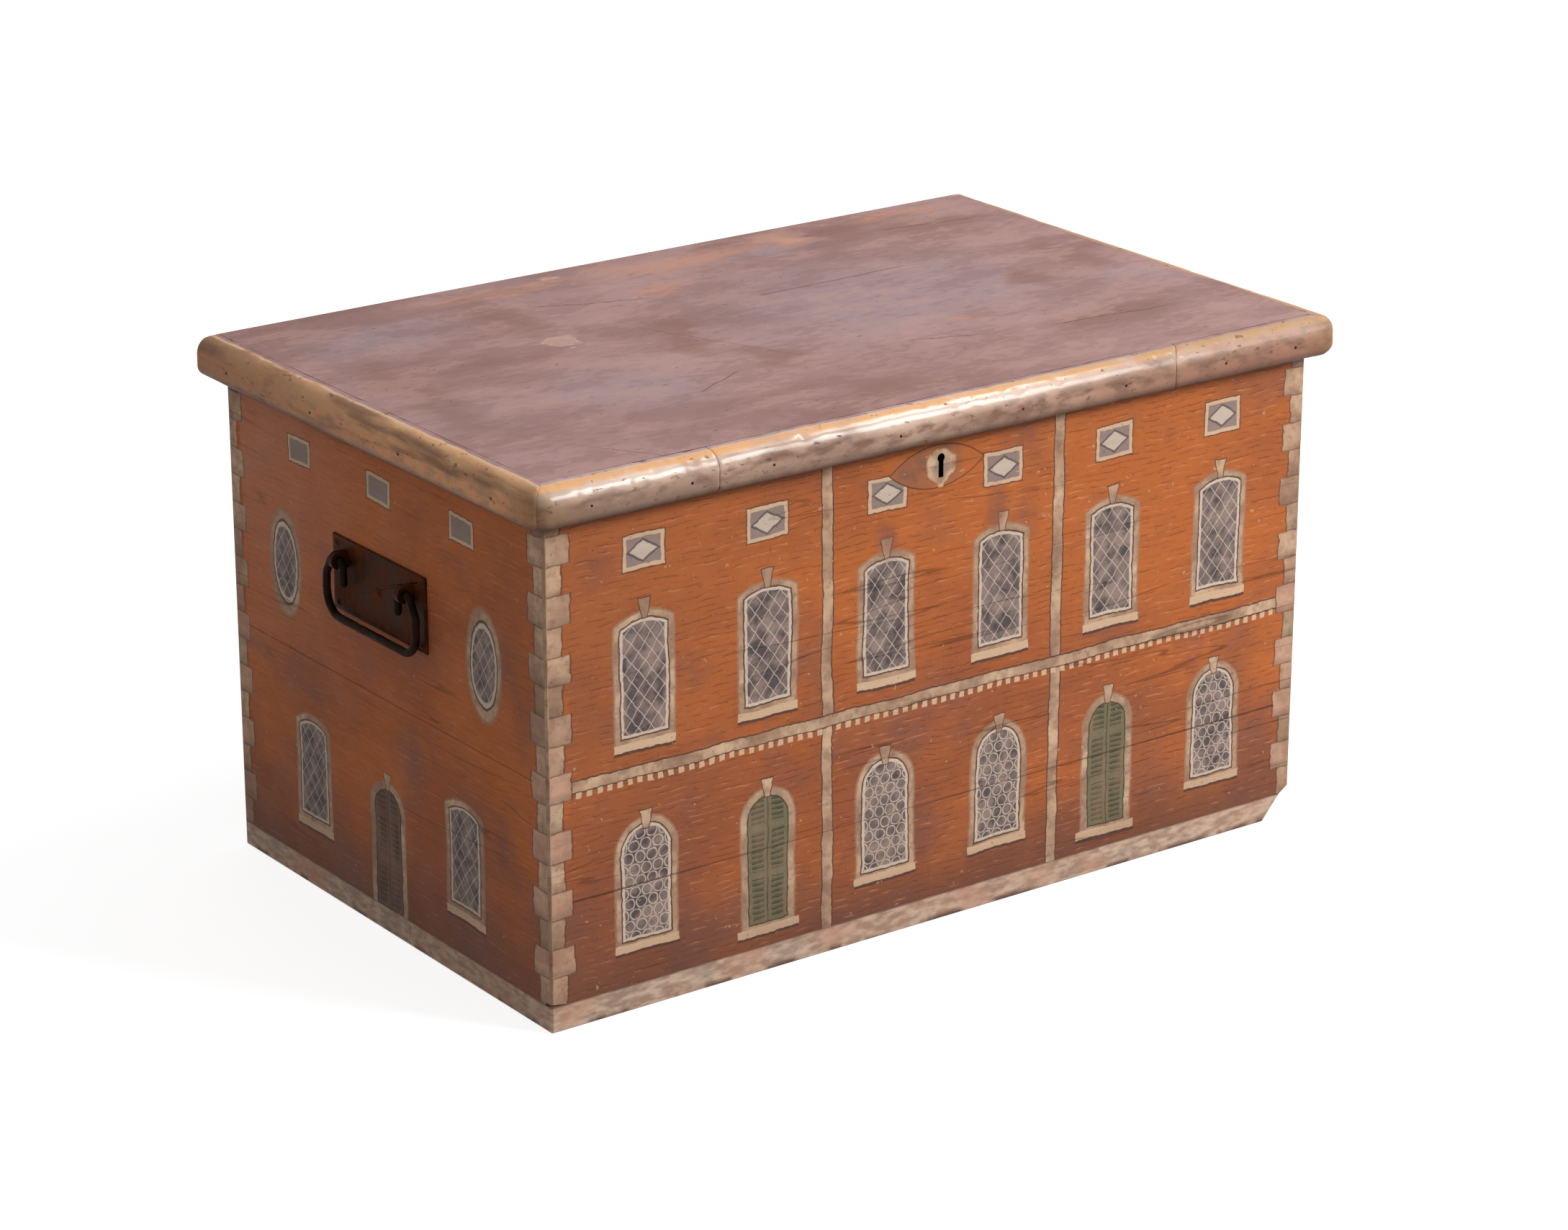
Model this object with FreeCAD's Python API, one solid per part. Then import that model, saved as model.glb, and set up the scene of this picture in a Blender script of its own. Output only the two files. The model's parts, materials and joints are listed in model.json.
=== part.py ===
import FreeCAD, Part
import math
import os

# A painted pine chest: a dovetailed case with nailed on bottom boards, a flat lid edged with a round
# moulding, two butt hinges, a link plate lock, and an iron handle with a swinging bail on each end.
# Millimetres. X runs along the front, the front faces -Y, and Z is up from the ground.
# The origin is on the ground, under the middle of the case.

os.makedirs("parts", exist_ok=True)
Vec = FreeCAD.Vector
X_AXIS = Vec(1, 0, 0)
Y_AXIS = Vec(0, 1, 0)
Z_AXIS = Vec(0, 0, 1)
MITRED = 1

# Case
case_width = 800.0
case_depth = 498.0
wall_height = 428.0
side_thickness = 20.0
end_thickness = 22.0
bottom_thickness = 23.0
front_joint_height = 88.0
back_joint_height = 236.0
end_joint_height = 192.0
bottom_joint_setback = 30.0
board_gap = 0.5
corner_bevel = 1.6
foot_bevel = 1.2

# Dovetails: a pin is narrow at the outside of the end board and widens inwards
tail_count = 5
pin_width = 13.0
pin_slope = 1 / 6

# Damage at the foot of the two front corners
worn_length = 34.0
worn_step = 11.0
worn_height = 30.0
split_length = 17.0
split_height = 2.6

# Lid
lid_thickness = 22.0
edge_drop = 14.0
edge_overhang = 22.0
edge_clearance = 1.0
rear_overhang = 11.0
lid_corner_radius = 18.0
edge_top_round = 15.0
edge_bottom_round = 11.0
rear_arris = 2.0
lid_joint_setback = 177.0
lid_joint_gap = 0.4
edge_joint_left = 155.0
edge_joint_right = 154.0
edge_joint_slant = 14.0
edge_joint_gap = 0.6

# Keyhole and the almond patch let in round it
keyhole_offset = -5.0
keyhole_drop = 33.2
keyhole_radius = 3.8
keyhole_length = 17.2
keyhole_slot_width = 5.2
patch_length = 100.0
patch_height = 38.0
patch_thickness = 4.0
patch_shift = -4.0
patch_gap = 0.3

# Hinges
hinge_inset = 160.0
hinge_length = 76.0
hinge_leaf_reach = 17.0
hinge_leaf_thickness = 2.5
hinge_knuckle_radius = 4.0
hinge_pin_radius = 2.2
hinge_setback = 3.0
hinge_knuckle_count = 3
hinge_side_gap = 0.2
hinge_pin_clearance = 0.06
hinge_turn_clearance = 0.4
hinge_screw_spacing = 26.0

# Lock
lock_plate_width = 106.0
lock_plate_height = 62.0
lock_plate_thickness = 2.0
lock_top_gap = 1.0
lock_cover_width = 84.0
lock_cover_height = 58.0
lock_cover_depth = 14.0
lock_cover_wall = 1.5
lock_screw_inset = 5.5
lock_screw_rise = 9.0
bolt_thickness = 4.0
bolt_bar_height = 8.0
bolt_bar_drop = 20.0
bolt_bar_length = 66.0
bolt_bar_shift = -3.0
bolt_setback = 4.0
bolt_throw = 8.0
hook_stem_width = 6.0
hook_finger_length = 9.0
hook_finger_height = 5.0
hook_tip_gap = 1.0
talon_width = 12.0
talon_depth = 1.6
guide_stud_width = 3.6
guide_stud_clearance = 0.08
guide_stud_left = 16.0
guide_stud_right = 24.0
guide_stud_stand = 10.0
key_pin_radius = 1.9
key_pin_sides = 8
key_pin_length = 9.5
spring_thickness = 0.8
spring_width = 5.0
spring_gap = 0.3
spring_rise = 18.0
spring_run = 26.0
spring_bend_share = 0.3

# Link plate under the lid, with two staples that drop into the lock
link_plate_length = 74.0
link_plate_width = 17.0
link_plate_thickness = 2.0
staple_spacing = 36.0
staple_thickness = 4.0
staple_leg = 2.4
staple_drop = 19.0
staple_bridge = 3.0
staple_clearance = 0.8
staple_slot_clearance = 1.2
link_screw_inset = 5.5

# Handles
handle_rise = 310.0
handle_plate_length = 147.0
handle_plate_height = 67.0
handle_plate_thickness = 2.5
handle_plate_bevel = 1.0
handle_axis_rise = 16.0
handle_axis_stand = 8.0
bail_radius = 3.7
bail_sides = 8
bail_bend_steps = 4
bail_reach = 142.0
bail_drop = 51.0
bail_corner_radius = 20.0
bail_shoulder_drop = 16.0
bail_shoulder_radius = 12.0
bail_bend_radius = 5.2
bail_hook_length = 22.0
bail_hook_span = 18.0
bail_bore_clearance = 0.08
post_spacing = 105.0
post_width = 7.0
post_radius = 7.6
post_shank_width = 7.0
post_end = 3.0
rove_width = 18.0
rove_thickness = 2.5
plate_nail_inset = 7.0
plate_nail_head = 6.5
plate_nail_shank = 2.4
plate_nail_length = 14.0
plate_stud_head = 9.0
nail_head_slope = 0.5

# Wood screws
screw_head_radius = 3.4
screw_shank_radius = 1.7
screw_head_height = 1.7
screw_sides = 8
screw_length = 14.0
hinge_screw_length = 16.0

# Nails under the bottom boards, and pins through the edge moulding
bottom_nail_length = 60.0
bottom_nail_width = 3.0
bottom_nail_head_width = 7.0
bottom_nail_head_height = 1.5
edge_pin_length = 40.0
edge_pin_width = 2.0
side_nail_shares = (-0.4, -0.2, 0.0, 0.2, 0.4)
end_nail_shares = (-0.25, 0.0, 0.25)
front_pin_shares = (-0.46, -0.34, -0.24, -0.08, 0.08, 0.22, 0.36, 0.46)
end_pin_shares = (-0.42, -0.14, 0.14, 0.42)

# Cuts run this far past the faces that they open
overrun = 3.0

# Places that several pieces share
half_width = case_width / 2
half_depth = case_depth / 2
case_top = bottom_thickness + wall_height
front_inside = -half_depth + side_thickness
lid_top = case_top + lid_thickness
edge_bottom = case_top - edge_drop
lid_inner_x = half_width + edge_clearance
lid_inner_front = -half_depth - edge_clearance
lid_outer_x = half_width + edge_overhang
lid_outer_front = -half_depth - edge_overhang
lid_rear = half_depth + rear_overhang
edge_depth = edge_overhang - edge_clearance
keyhole_rise = case_top - keyhole_drop
keyhole_foot = keyhole_rise - keyhole_length
patch_rise = (keyhole_rise + keyhole_radius + keyhole_foot) / 2
hinge_axis_y = half_depth + hinge_setback
lock_top = case_top - lock_top_gap
lock_inner_face = front_inside + lock_plate_thickness
bolt_front = lock_inner_face + bolt_setback
bolt_back = bolt_front + bolt_thickness
bar_top = case_top - bolt_bar_drop
bar_bottom = bar_top - bolt_bar_height
staple_bottom = case_top - staple_drop
finger_bottom = staple_bottom + staple_bridge + hook_tip_gap
finger_top = finger_bottom + hook_finger_height


def block(low, high):
    """A box between two corners."""
    size = high - low
    return Part.makeBox(size.x, size.y, size.z, low)


def polygon_face(points):
    """A flat face whose outline runs straight from point to point."""
    return Part.Face(Part.makePolygon(points + points[:1]))


def prism_along_y(outline, start, end):
    """An outline of (x, z) points carried along Y."""
    face = polygon_face([Vec(x, start, z) for x, z in outline])
    return face.extrude(Vec(0, end - start, 0))


def prism_along_z(outline, start, end):
    """An outline of (x, y) points carried up Z."""
    face = polygon_face([Vec(x, y, start) for x, y in outline])
    return face.extrude(Vec(0, 0, end - start))


def rod(radius, start, end):
    """A round bar from one point to another."""
    way = end - start
    return Part.makeCylinder(radius, way.Length, start, way)


def ring_of_points(radius, centre, way, sides):
    """Points evenly spaced on a circle that faces along the way."""
    circle = Part.Circle(centre, way, radius)
    return [circle.value(2 * math.pi * index / sides) for index in range(sides)]


def closed_solid(faces):
    """The solid inside a closed set of flat faces."""
    solid = Part.Solid(Part.Shell(faces))
    return solid if solid.Volume > 0 else solid.reversed()


def tapered(first, second):
    """A flat-sided solid between two outlines that have the same number of points."""
    faces = [polygon_face(first), polygon_face(second)]
    for index in range(len(first)):
        side = [first[index - 1], first[index], second[index], second[index - 1]]
        faces.append(polygon_face(side))
    return closed_solid(faces)


def joined(shapes):
    """Several solids fused into one, with their shared faces merged."""
    return shapes[0].fuse(shapes[1:]).removeSplitter()


def save(name, shapes):
    """One file for a sub-part: a single solid, or a group of alike ones."""
    solids = []
    for shape in shapes:
        solids.extend(shape.Solids)
    whole = solids[0] if len(solids) == 1 else Part.makeCompound(solids)
    whole.exportStep(os.path.join("parts", name + ".step"))
    print(name, len(solids), round(whole.Volume))


def wood_screw(point, way, length):
    """A countersunk screw whose head is flush at the point, driven along the way."""
    rim = ring_of_points(screw_head_radius, point, way, screw_sides)
    neck = ring_of_points(screw_shank_radius, point + way * screw_head_height, way, screw_sides)
    shank = polygon_face(neck).extrude(way * (length - screw_head_height))
    return joined([tapered(rim, neck), shank])


# Fasteners come first, because the boards and plates are bored by their shapes.


def bottom_nails():
    """Square cut nails driven up through the bottom boards into the walls."""
    rows = []
    wall_middle = half_depth - side_thickness / 2
    end_middle = half_width - end_thickness / 2
    for side in (-1, 1):
        rows.extend((share * case_width, side * wall_middle) for share in side_nail_shares)
        rows.extend((side * end_middle, share * case_depth) for share in end_nail_shares)
    nails = []
    for x, y in rows:
        shank = square_bar(Vec(x, y, 0), Z_AXIS, bottom_nail_width, bottom_nail_length)
        head = square_bar(Vec(x, y, 0), Z_AXIS, bottom_nail_head_width, bottom_nail_head_height)
        nails.append(joined([head, shank]))
    return nails


def square_bar(point, way, width, length):
    """A square bar that starts at the point and runs along one of the three axes."""
    half = width / 2
    across = Vec(1 - abs(way.x), 1 - abs(way.y), 1 - abs(way.z)) * half
    end = point + way * length
    low = Vec(min(point.x, end.x), min(point.y, end.y), min(point.z, end.z)) - across
    high = Vec(max(point.x, end.x), max(point.y, end.y), max(point.z, end.z)) + across
    return block(low, high)


def edge_pins():
    """Fine pins driven through the flat of the lid moulding into the edges of the lid boards."""
    rise = (edge_bottom + edge_bottom_round + lid_top - edge_top_round) / 2
    pins = []
    for share in front_pin_shares:
        start = Vec(share * case_width, lid_outer_front, rise)
        pins.append(square_bar(start, Y_AXIS, edge_pin_width, edge_pin_length))
    for side in (-1, 1):
        for share in end_pin_shares:
            start = Vec(side * lid_outer_x, share * case_depth, rise)
            pins.append(square_bar(start, X_AXIS * -side, edge_pin_width, edge_pin_length))
    return pins


def hinge_screws(side, into_lid):
    """Three screws through one hinge leaf, up into the lid or down into the back board."""
    x = side * (half_width - hinge_inset)
    y = half_depth - hinge_leaf_reach / 2
    way = Z_AXIS if into_lid else Z_AXIS * -1
    places = [x - hinge_screw_spacing, x, x + hinge_screw_spacing]
    return [wood_screw(Vec(place, y, case_top), way, hinge_screw_length) for place in places]


def lock_screws():
    """Four screws through the corners of the lock plate into the front board."""
    reach = lock_plate_width / 2 - lock_screw_inset
    low = lock_top - lock_plate_height + lock_screw_rise
    high = lock_top - lock_screw_rise
    screws = []
    for x in (keyhole_offset - reach, keyhole_offset + reach):
        for z in (low, high):
            screws.append(wood_screw(Vec(x, lock_inner_face, z), Y_AXIS * -1, screw_length))
    return screws


def link_screws():
    """Two screws up through the link plate into the lid."""
    reach = link_plate_length / 2 - link_screw_inset
    y = (bolt_front + bolt_back) / 2
    places = (keyhole_offset - reach, keyhole_offset + reach)
    return [wood_screw(Vec(x, y, case_top), Z_AXIS, screw_length) for x in places]


# Handles are shaped for the right end, and turned half round for the left one.


def turned(shapes, side):
    """The shapes as they are for the right end, or turned half round the middle for the left."""
    if side > 0:
        return shapes
    return [shape.rotated(Vec(), Z_AXIS, 180) for shape in shapes]


plate_face = half_width + handle_plate_thickness
axis_x = plate_face + handle_axis_stand
axis_z = handle_rise + handle_axis_rise


def handle_nails():
    """A nail near each corner of the plate, and a larger stud in its middle."""
    y = handle_plate_length / 2 - plate_nail_inset
    z = handle_plate_height / 2 - plate_nail_inset
    places = [(a * y, b * z, plate_nail_head) for a in (-1, 1) for b in (-1, 1)]
    places.append((0, 0, plate_stud_head))
    nails = []
    for y, z, width in places:
        point = Vec(plate_face, y, handle_rise + z)
        shank = square_bar(point, X_AXIS * -1, plate_nail_shank, plate_nail_length)
        nails.append(joined([rose_head(point, width), shank]))
    return nails


def rose_head(point, width):
    """A low hammered pyramid on a face that looks along X."""
    half = width / 2
    height = half * nail_head_slope
    corners = [point + Vec(0, a * half, b * half) for a, b in ((-1, -1), (1, -1), (1, 1), (-1, 1))]
    top = point + X_AXIS * height
    sides = [polygon_face([corners[i - 1], corners[i], top]) for i in range(len(corners))]
    return closed_solid(sides + [polygon_face(corners)])


def handle_posts():
    """Two eyes that carry the bail, each with a shank clenched through the end board."""
    posts = []
    shank_end = half_width - end_thickness - rove_thickness - post_end
    for side in (-1, 1):
        y = side * post_spacing / 2
        face = y - post_width / 2
        axis = Vec(axis_x, face, axis_z)
        ring = Part.makeCylinder(post_radius, post_width, axis, Y_AXIS)
        low = Vec(plate_face, face, axis_z - post_radius)
        neck = block(low, Vec(axis_x, face + post_width, axis_z + post_radius))
        reach = Vec(axis_x + post_radius, face + post_width, axis_z + post_radius)
        root = Vec(plate_face, y, axis_z)
        shank = square_bar(root, X_AXIS * -1, post_shank_width, plate_face - shank_end)
        bore_radius = bail_radius + bail_bore_clearance
        bore = rod(bore_radius, axis - Y_AXIS * overrun, axis + Y_AXIS * (post_width + overrun))
        ring = ring.common(block(low, reach))
        posts.append(joined([ring, neck, shank]).cut(bore))
    return posts


def handle_roves():
    """Square washers inside the end board, over which the post shanks are clenched."""
    roves = []
    for side in (-1, 1):
        start = Vec(half_width - end_thickness, side * post_spacing / 2, axis_z)
        rove = square_bar(start, X_AXIS * -1, rove_width, rove_thickness)
        hole = square_bar(start, X_AXIS * -1, post_shank_width, rove_thickness)
        roves.append(rove.cut(hole))
    return roves


def handle_plate():
    """The bevelled iron plate behind the bail, bored for its nails and the post shanks."""
    y = handle_plate_length / 2
    z = handle_plate_height / 2
    plate = block(Vec(half_width, -y, handle_rise - z), Vec(plate_face, y, handle_rise + z))
    rim = [edge for edge in plate.Edges if edge.BoundBox.XMin > plate_face - handle_plate_bevel]
    plate = plate.makeChamfer(handle_plate_bevel, rim)
    return plate.cut(handle_nails() + handle_posts())


def rounded_path(points, radii, steps):
    """Points of a bent route: each inner corner becomes a tangent arc, walked in even steps."""
    route = [points[0]]
    for before, corner, after, radius in zip(points, points[1:], points[2:], radii):
        back = (before - corner).normalize()
        ahead = (after - corner).normalize()
        half_turn = (math.pi - back.getAngle(ahead)) / 2
        inward = (back + ahead).normalize()
        centre = corner + inward * (radius / math.cos(half_turn))
        sideways = (ahead - back).normalize()
        for step in range(steps + 1):
            angle = half_turn * (2 * step / steps - 1)
            route.append(centre + (sideways * math.sin(angle) - inward * math.cos(angle)) * radius)
    route.append(points[-1])
    return route


def handle_bail():
    """A hammered bar bent to a wide U with shoulders, its ends hooked down through the posts."""
    inner = post_spacing / 2 - bail_hook_span / 2
    outer = post_spacing / 2 + bail_hook_span / 2
    reach = bail_reach / 2
    half = [
        Vec(axis_x, inner, axis_z - bail_hook_length),
        Vec(axis_x, inner, axis_z),
        Vec(axis_x, outer, axis_z),
        Vec(axis_x, reach, axis_z - bail_shoulder_drop),
        Vec(axis_x, reach, axis_z - bail_drop),
    ]
    mirrored = [Vec(p.x, -p.y, p.z) for p in reversed(half)]
    radii = [bail_bend_radius, bail_bend_radius, bail_shoulder_radius, bail_corner_radius]
    route = rounded_path(half + mirrored, radii + radii[::-1], bail_bend_steps)
    section = ring_of_points(bail_radius, half[0], Z_AXIS, bail_sides)
    outline = Part.makePolygon(section + section[:1])
    return Part.makePolygon(route).makePipeShell([outline], True, False, MITRED)


# Case


def envelope():
    """The outside of the case, with the arrises of its upright corners and its foot taken off."""
    low = Vec(-half_width, -half_depth, 0)
    body = block(low, Vec(half_width, half_depth, case_top))
    upright = [edge for edge in body.Edges if edge.BoundBox.ZLength > wall_height]
    body = body.makeChamfer(corner_bevel, upright)
    foot = [edge for edge in body.Edges if edge.BoundBox.ZMax < foot_bevel]
    return body.makeChamfer(foot_bevel, foot)


def corner_pins(side, start, end):
    """The dovetail pins of one end board where they pass through a wall between two depths."""
    outer = side * half_width
    inner = side * (half_width - end_thickness)
    pitch = wall_height / tail_count
    narrow = pin_width / 2
    wide = narrow + end_thickness * pin_slope
    pins = []
    for index in range(tail_count + 1):
        middle = bottom_thickness + index * pitch
        low_wide = max(middle - wide, bottom_thickness)
        low_narrow = max(middle - narrow, bottom_thickness)
        high_wide = min(middle + wide, case_top)
        high_narrow = min(middle + narrow, case_top)
        outline = [(inner, low_wide), (outer, low_narrow), (outer, high_narrow), (inner, high_wide)]
        pins.append(prism_along_y(outline, start, end))
    return pins


def side_wall(side):
    """Front (-1) or back (1) of the case, with tails at both ends."""
    outer = side * half_depth
    inner = side * (half_depth - side_thickness)
    near, far = sorted((outer, inner))
    wall = block(Vec(-half_width, near, bottom_thickness), Vec(half_width, far, case_top))
    return wall.cut(corner_pins(-1, near, far) + corner_pins(1, near, far))


def end_wall(side):
    """Left (-1) or right (1) end of the case, with pins at its front and back edges."""
    outer = side * half_width
    inner = side * (half_width - end_thickness)
    near, far = sorted((outer, inner))
    reach = half_depth - side_thickness
    wall = block(Vec(near, -reach, bottom_thickness), Vec(far, reach, case_top))
    pins = corner_pins(side, -half_depth, -reach) + corner_pins(side, reach, half_depth)
    return joined([wall] + pins)


def split_by_height(wall, joint):
    """Lower and upper boards of a wall, with a hair of a gap at their joint."""
    lower_top = bottom_thickness + joint - board_gap / 2
    upper_bottom = bottom_thickness + joint + board_gap / 2
    low = Vec(-case_width, -case_depth, 0)
    high = Vec(case_width, case_depth, case_top + overrun)
    lower = wall.common(block(low, Vec(high.x, high.y, lower_top)))
    upper = wall.common(block(Vec(low.x, low.y, upper_bottom), high))
    return lower, upper


def worn_corner():
    """What is knocked off the foot of the front right corner, shrinking away from the front."""
    front = -half_depth - overrun
    outline = [
        Vec(half_width - worn_length - overrun, front, -overrun),
        Vec(half_width - worn_step - overrun, front, bottom_thickness),
        Vec(half_width - overrun, front, worn_height),
        Vec(half_width + worn_length, front, worn_height + overrun),
        Vec(half_width + worn_length, front, -overrun),
    ]
    return polygon_face(outline).extrude(Vec(worn_length, worn_length, 0))


def split_corner():
    """A sliver missing over the bottom board at the front left corner."""
    outline = [
        (-half_width - overrun, bottom_thickness),
        (-half_width + split_length, bottom_thickness),
        (-half_width + corner_bevel, bottom_thickness + split_height),
        (-half_width - overrun, bottom_thickness + split_height),
    ]
    return prism_along_y(outline, -half_depth - overrun, -half_depth + split_length / 2)


def almond(growth, start, end):
    """A pointed oval round the keyhole, from one depth to another."""
    middle = keyhole_offset + patch_shift
    reach = patch_length / 2 + growth
    rise = patch_height / 2 + growth
    left = Vec(middle - reach, start, patch_rise)
    right = Vec(middle + reach, start, patch_rise)
    top = Part.Arc(left, Vec(middle, start, patch_rise + rise), right).toShape()
    bottom = Part.Arc(right, Vec(middle, start, patch_rise - rise), left).toShape()
    return Part.Face(Part.Wire([top, bottom])).extrude(Vec(0, end - start, 0))


def keyhole(start, end):
    """A round hole over a narrower slot, carried from one depth to another."""
    near = Vec(keyhole_offset, start, keyhole_rise)
    eye = rod(keyhole_radius, near, near + Y_AXIS * (end - start))
    half = keyhole_slot_width / 2
    low = Vec(keyhole_offset - half, start, keyhole_foot)
    slot = block(low, Vec(keyhole_offset + half, end, keyhole_rise))
    return joined([eye, slot])


def front_cuts():
    """Everything let into or through the front wall."""
    outside = -half_depth - overrun
    pocket = almond(patch_gap, outside, -half_depth + patch_thickness)
    hole = keyhole(outside, front_inside + overrun)
    return [pocket, hole, split_corner(), worn_corner()] + lock_screws() + bottom_nails()


def knuckle_sweep(side):
    """The round room that a hinge's knuckles turn in."""
    x = side * (half_width - hinge_inset)
    reach = hinge_length / 2 + hinge_turn_clearance
    radius = hinge_knuckle_radius + hinge_turn_clearance
    start = Vec(x - reach, hinge_axis_y, case_top)
    return rod(radius, start, start + X_AXIS * (2 * reach))


def leaf_recess(side, above):
    """The shallow bed of a hinge leaf, in the lid or in the top edge of the back board."""
    x = side * (half_width - hinge_inset)
    reach = hinge_length / 2
    low = Vec(x - reach, half_depth - hinge_leaf_reach, case_top)
    high = Vec(x + reach, lid_rear + overrun, case_top)
    if above:
        return block(low, Vec(high.x, hinge_axis_y, case_top + hinge_leaf_thickness))
    return block(low - Z_AXIS * hinge_leaf_thickness, high)


def back_cuts():
    """Everything let into the back wall."""
    cuts = bottom_nails()
    for side in (-1, 1):
        cuts.append(leaf_recess(side, False))
        cuts.append(knuckle_sweep(side))
        cuts.extend(hinge_screws(side, False))
    return cuts


def case_boards():
    """The eight wall boards and two bottom boards, by name."""
    shell = envelope()
    boards = {}
    front = side_wall(-1).common(shell).cut(front_cuts())
    lower, upper = split_by_height(front, front_joint_height)
    boards["front_lower_board"] = lower
    boards["front_upper_board"] = upper
    back = side_wall(1).common(shell).cut(back_cuts())
    lower, upper = split_by_height(back, back_joint_height)
    boards["back_lower_board"] = lower
    boards["back_upper_board"] = upper
    for side, name in ((-1, "left_end"), (1, "right_end")):
        fittings = turned(handle_nails() + handle_posts(), side)
        cuts = fittings + bottom_nails() + [worn_corner(), split_corner()]
        wall = end_wall(side).common(shell).cut(cuts)
        lower, upper = split_by_height(wall, end_joint_height)
        boards[name + "_lower_board"] = lower
        boards[name + "_upper_board"] = upper
    joint = -bottom_joint_setback
    edge = Vec(half_width, half_depth, bottom_thickness)
    front_floor = block(edge * -1, Vec(edge.x, joint - board_gap / 2, edge.z))
    rear_floor = block(Vec(-edge.x, joint + board_gap / 2, -edge.z), edge)
    cuts = bottom_nails() + [worn_corner()]
    boards["bottom_front_board"] = front_floor.common(shell).cut(cuts)
    boards["bottom_rear_board"] = rear_floor.common(shell).cut(cuts)
    return boards


def keyhole_patch():
    """The almond patch, with its keyhole."""
    patch = almond(0, -half_depth, -half_depth + patch_thickness)
    return patch.cut(keyhole(-half_depth - overrun, front_inside))


# Lid


def lid_block():
    """The lid and its moulding as one block, with round edges at the front and both ends."""
    low = Vec(-lid_outer_x, lid_outer_front, edge_bottom)
    body = block(low, Vec(lid_outer_x, lid_rear, lid_top))
    corners = [e for e in body.Edges if e.BoundBox.ZLength > edge_drop and e.BoundBox.YMax < 0]
    body = body.makeFillet(lid_corner_radius, corners)
    body = body.makeFillet(edge_top_round, outer_edges(body, lid_top))
    return body.makeFillet(edge_bottom_round, outer_edges(body, edge_bottom))


def outer_edges(body, height):
    """Edges of the lid block at one height, apart from the one along its rear."""
    chosen = []
    for edge in body.Edges:
        box = edge.BoundBox
        level = abs(box.ZMin - height) + abs(box.ZMax - height) < overrun / 2
        if level and box.YMin < half_depth:
            chosen.append(edge)
    return chosen


def rear_bevel():
    """A small bevel along the top of the lid's rear edge."""
    outline = [
        Vec(-case_width, lid_rear - rear_arris, lid_top),
        Vec(-case_width, lid_rear, lid_top - rear_arris),
        Vec(-case_width, lid_rear + overrun, lid_top - rear_arris),
        Vec(-case_width, lid_rear + overrun, lid_top + overrun),
        Vec(-case_width, lid_rear - rear_arris, lid_top + overrun),
    ]
    return polygon_face(outline).extrude(Vec(2 * case_width, 0, 0))


def lid_boards(body):
    """The two flat boards, front and rear, with the beds of the hinges and the link plate."""
    low = Vec(-lid_inner_x, lid_inner_front, case_top)
    flat = body.common(block(low, Vec(lid_inner_x, lid_rear, lid_top)))
    reach = link_plate_length / 2
    middle = (bolt_front + bolt_back) / 2
    bed_low = Vec(keyhole_offset - reach, middle - link_plate_width / 2, case_top - overrun)
    bed_top = case_top + link_plate_thickness
    bed_high = Vec(keyhole_offset + reach, middle + link_plate_width / 2, bed_top)
    cuts = edge_pins() + link_screws() + [block(bed_low, bed_high), rear_bevel()]
    for side in (-1, 1):
        cuts.append(leaf_recess(side, True))
        cuts.append(knuckle_sweep(side))
        cuts.extend(hinge_screws(side, True))
    flat = flat.cut(cuts)
    joint = lid_rear - lid_joint_setback
    far = Vec(lid_outer_x, lid_rear, lid_top + overrun)
    front = flat.common(block(low, Vec(far.x, joint - lid_joint_gap / 2, far.z)))
    rear = flat.common(block(Vec(low.x, joint + lid_joint_gap / 2, low.z), far))
    return front, rear


def edge_region(left_inner, left_outer, right_inner, right_outer):
    """A slice of the front moulding between two joints, each given at the inner and outer face."""
    outer = lid_inner_front - edge_depth - overrun
    outline = [
        (left_inner, lid_inner_front),
        (left_outer, outer),
        (right_outer, outer),
        (right_inner, lid_inner_front),
    ]
    return prism_along_z(outline, edge_bottom - overrun, lid_top + overrun)


def lid_mouldings(body):
    """The five lengths of moulding, mitred at the front corners and by name."""
    inside = block(
        Vec(-lid_inner_x, lid_inner_front, edge_bottom - overrun),
        Vec(lid_inner_x, lid_rear + overrun, lid_top + overrun),
    )
    frame = body.cut([inside, rear_bevel()] + edge_pins())
    miter = edge_depth + overrun
    corner = lid_inner_x + miter
    whole_front = edge_region(-lid_inner_x, -corner, lid_inner_x, corner)
    left = -half_width + edge_joint_left
    right = half_width - edge_joint_right
    slanted = right - edge_joint_slant * miter / edge_depth
    gap = edge_joint_gap / 2
    mouldings = {
        "lid_front_moulding_left": frame.common(
            edge_region(-lid_inner_x, -corner, left - gap, left - gap)
        ),
        "lid_front_moulding_middle": frame.common(
            edge_region(left + gap, left + gap, right - gap, slanted - gap)
        ),
        "lid_front_moulding_right": frame.common(
            edge_region(right + gap, slanted + gap, lid_inner_x, corner)
        ),
    }
    ends = frame.cut(whole_front)
    for side, name in ((-1, "lid_left_moulding"), (1, "lid_right_moulding")):
        near, far = sorted((0, side * case_width))
        low = Vec(near, -case_depth, edge_bottom - overrun)
        mouldings[name] = ends.common(block(low, Vec(far, case_depth, lid_top + overrun)))
    return mouldings


# Hinges


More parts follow.
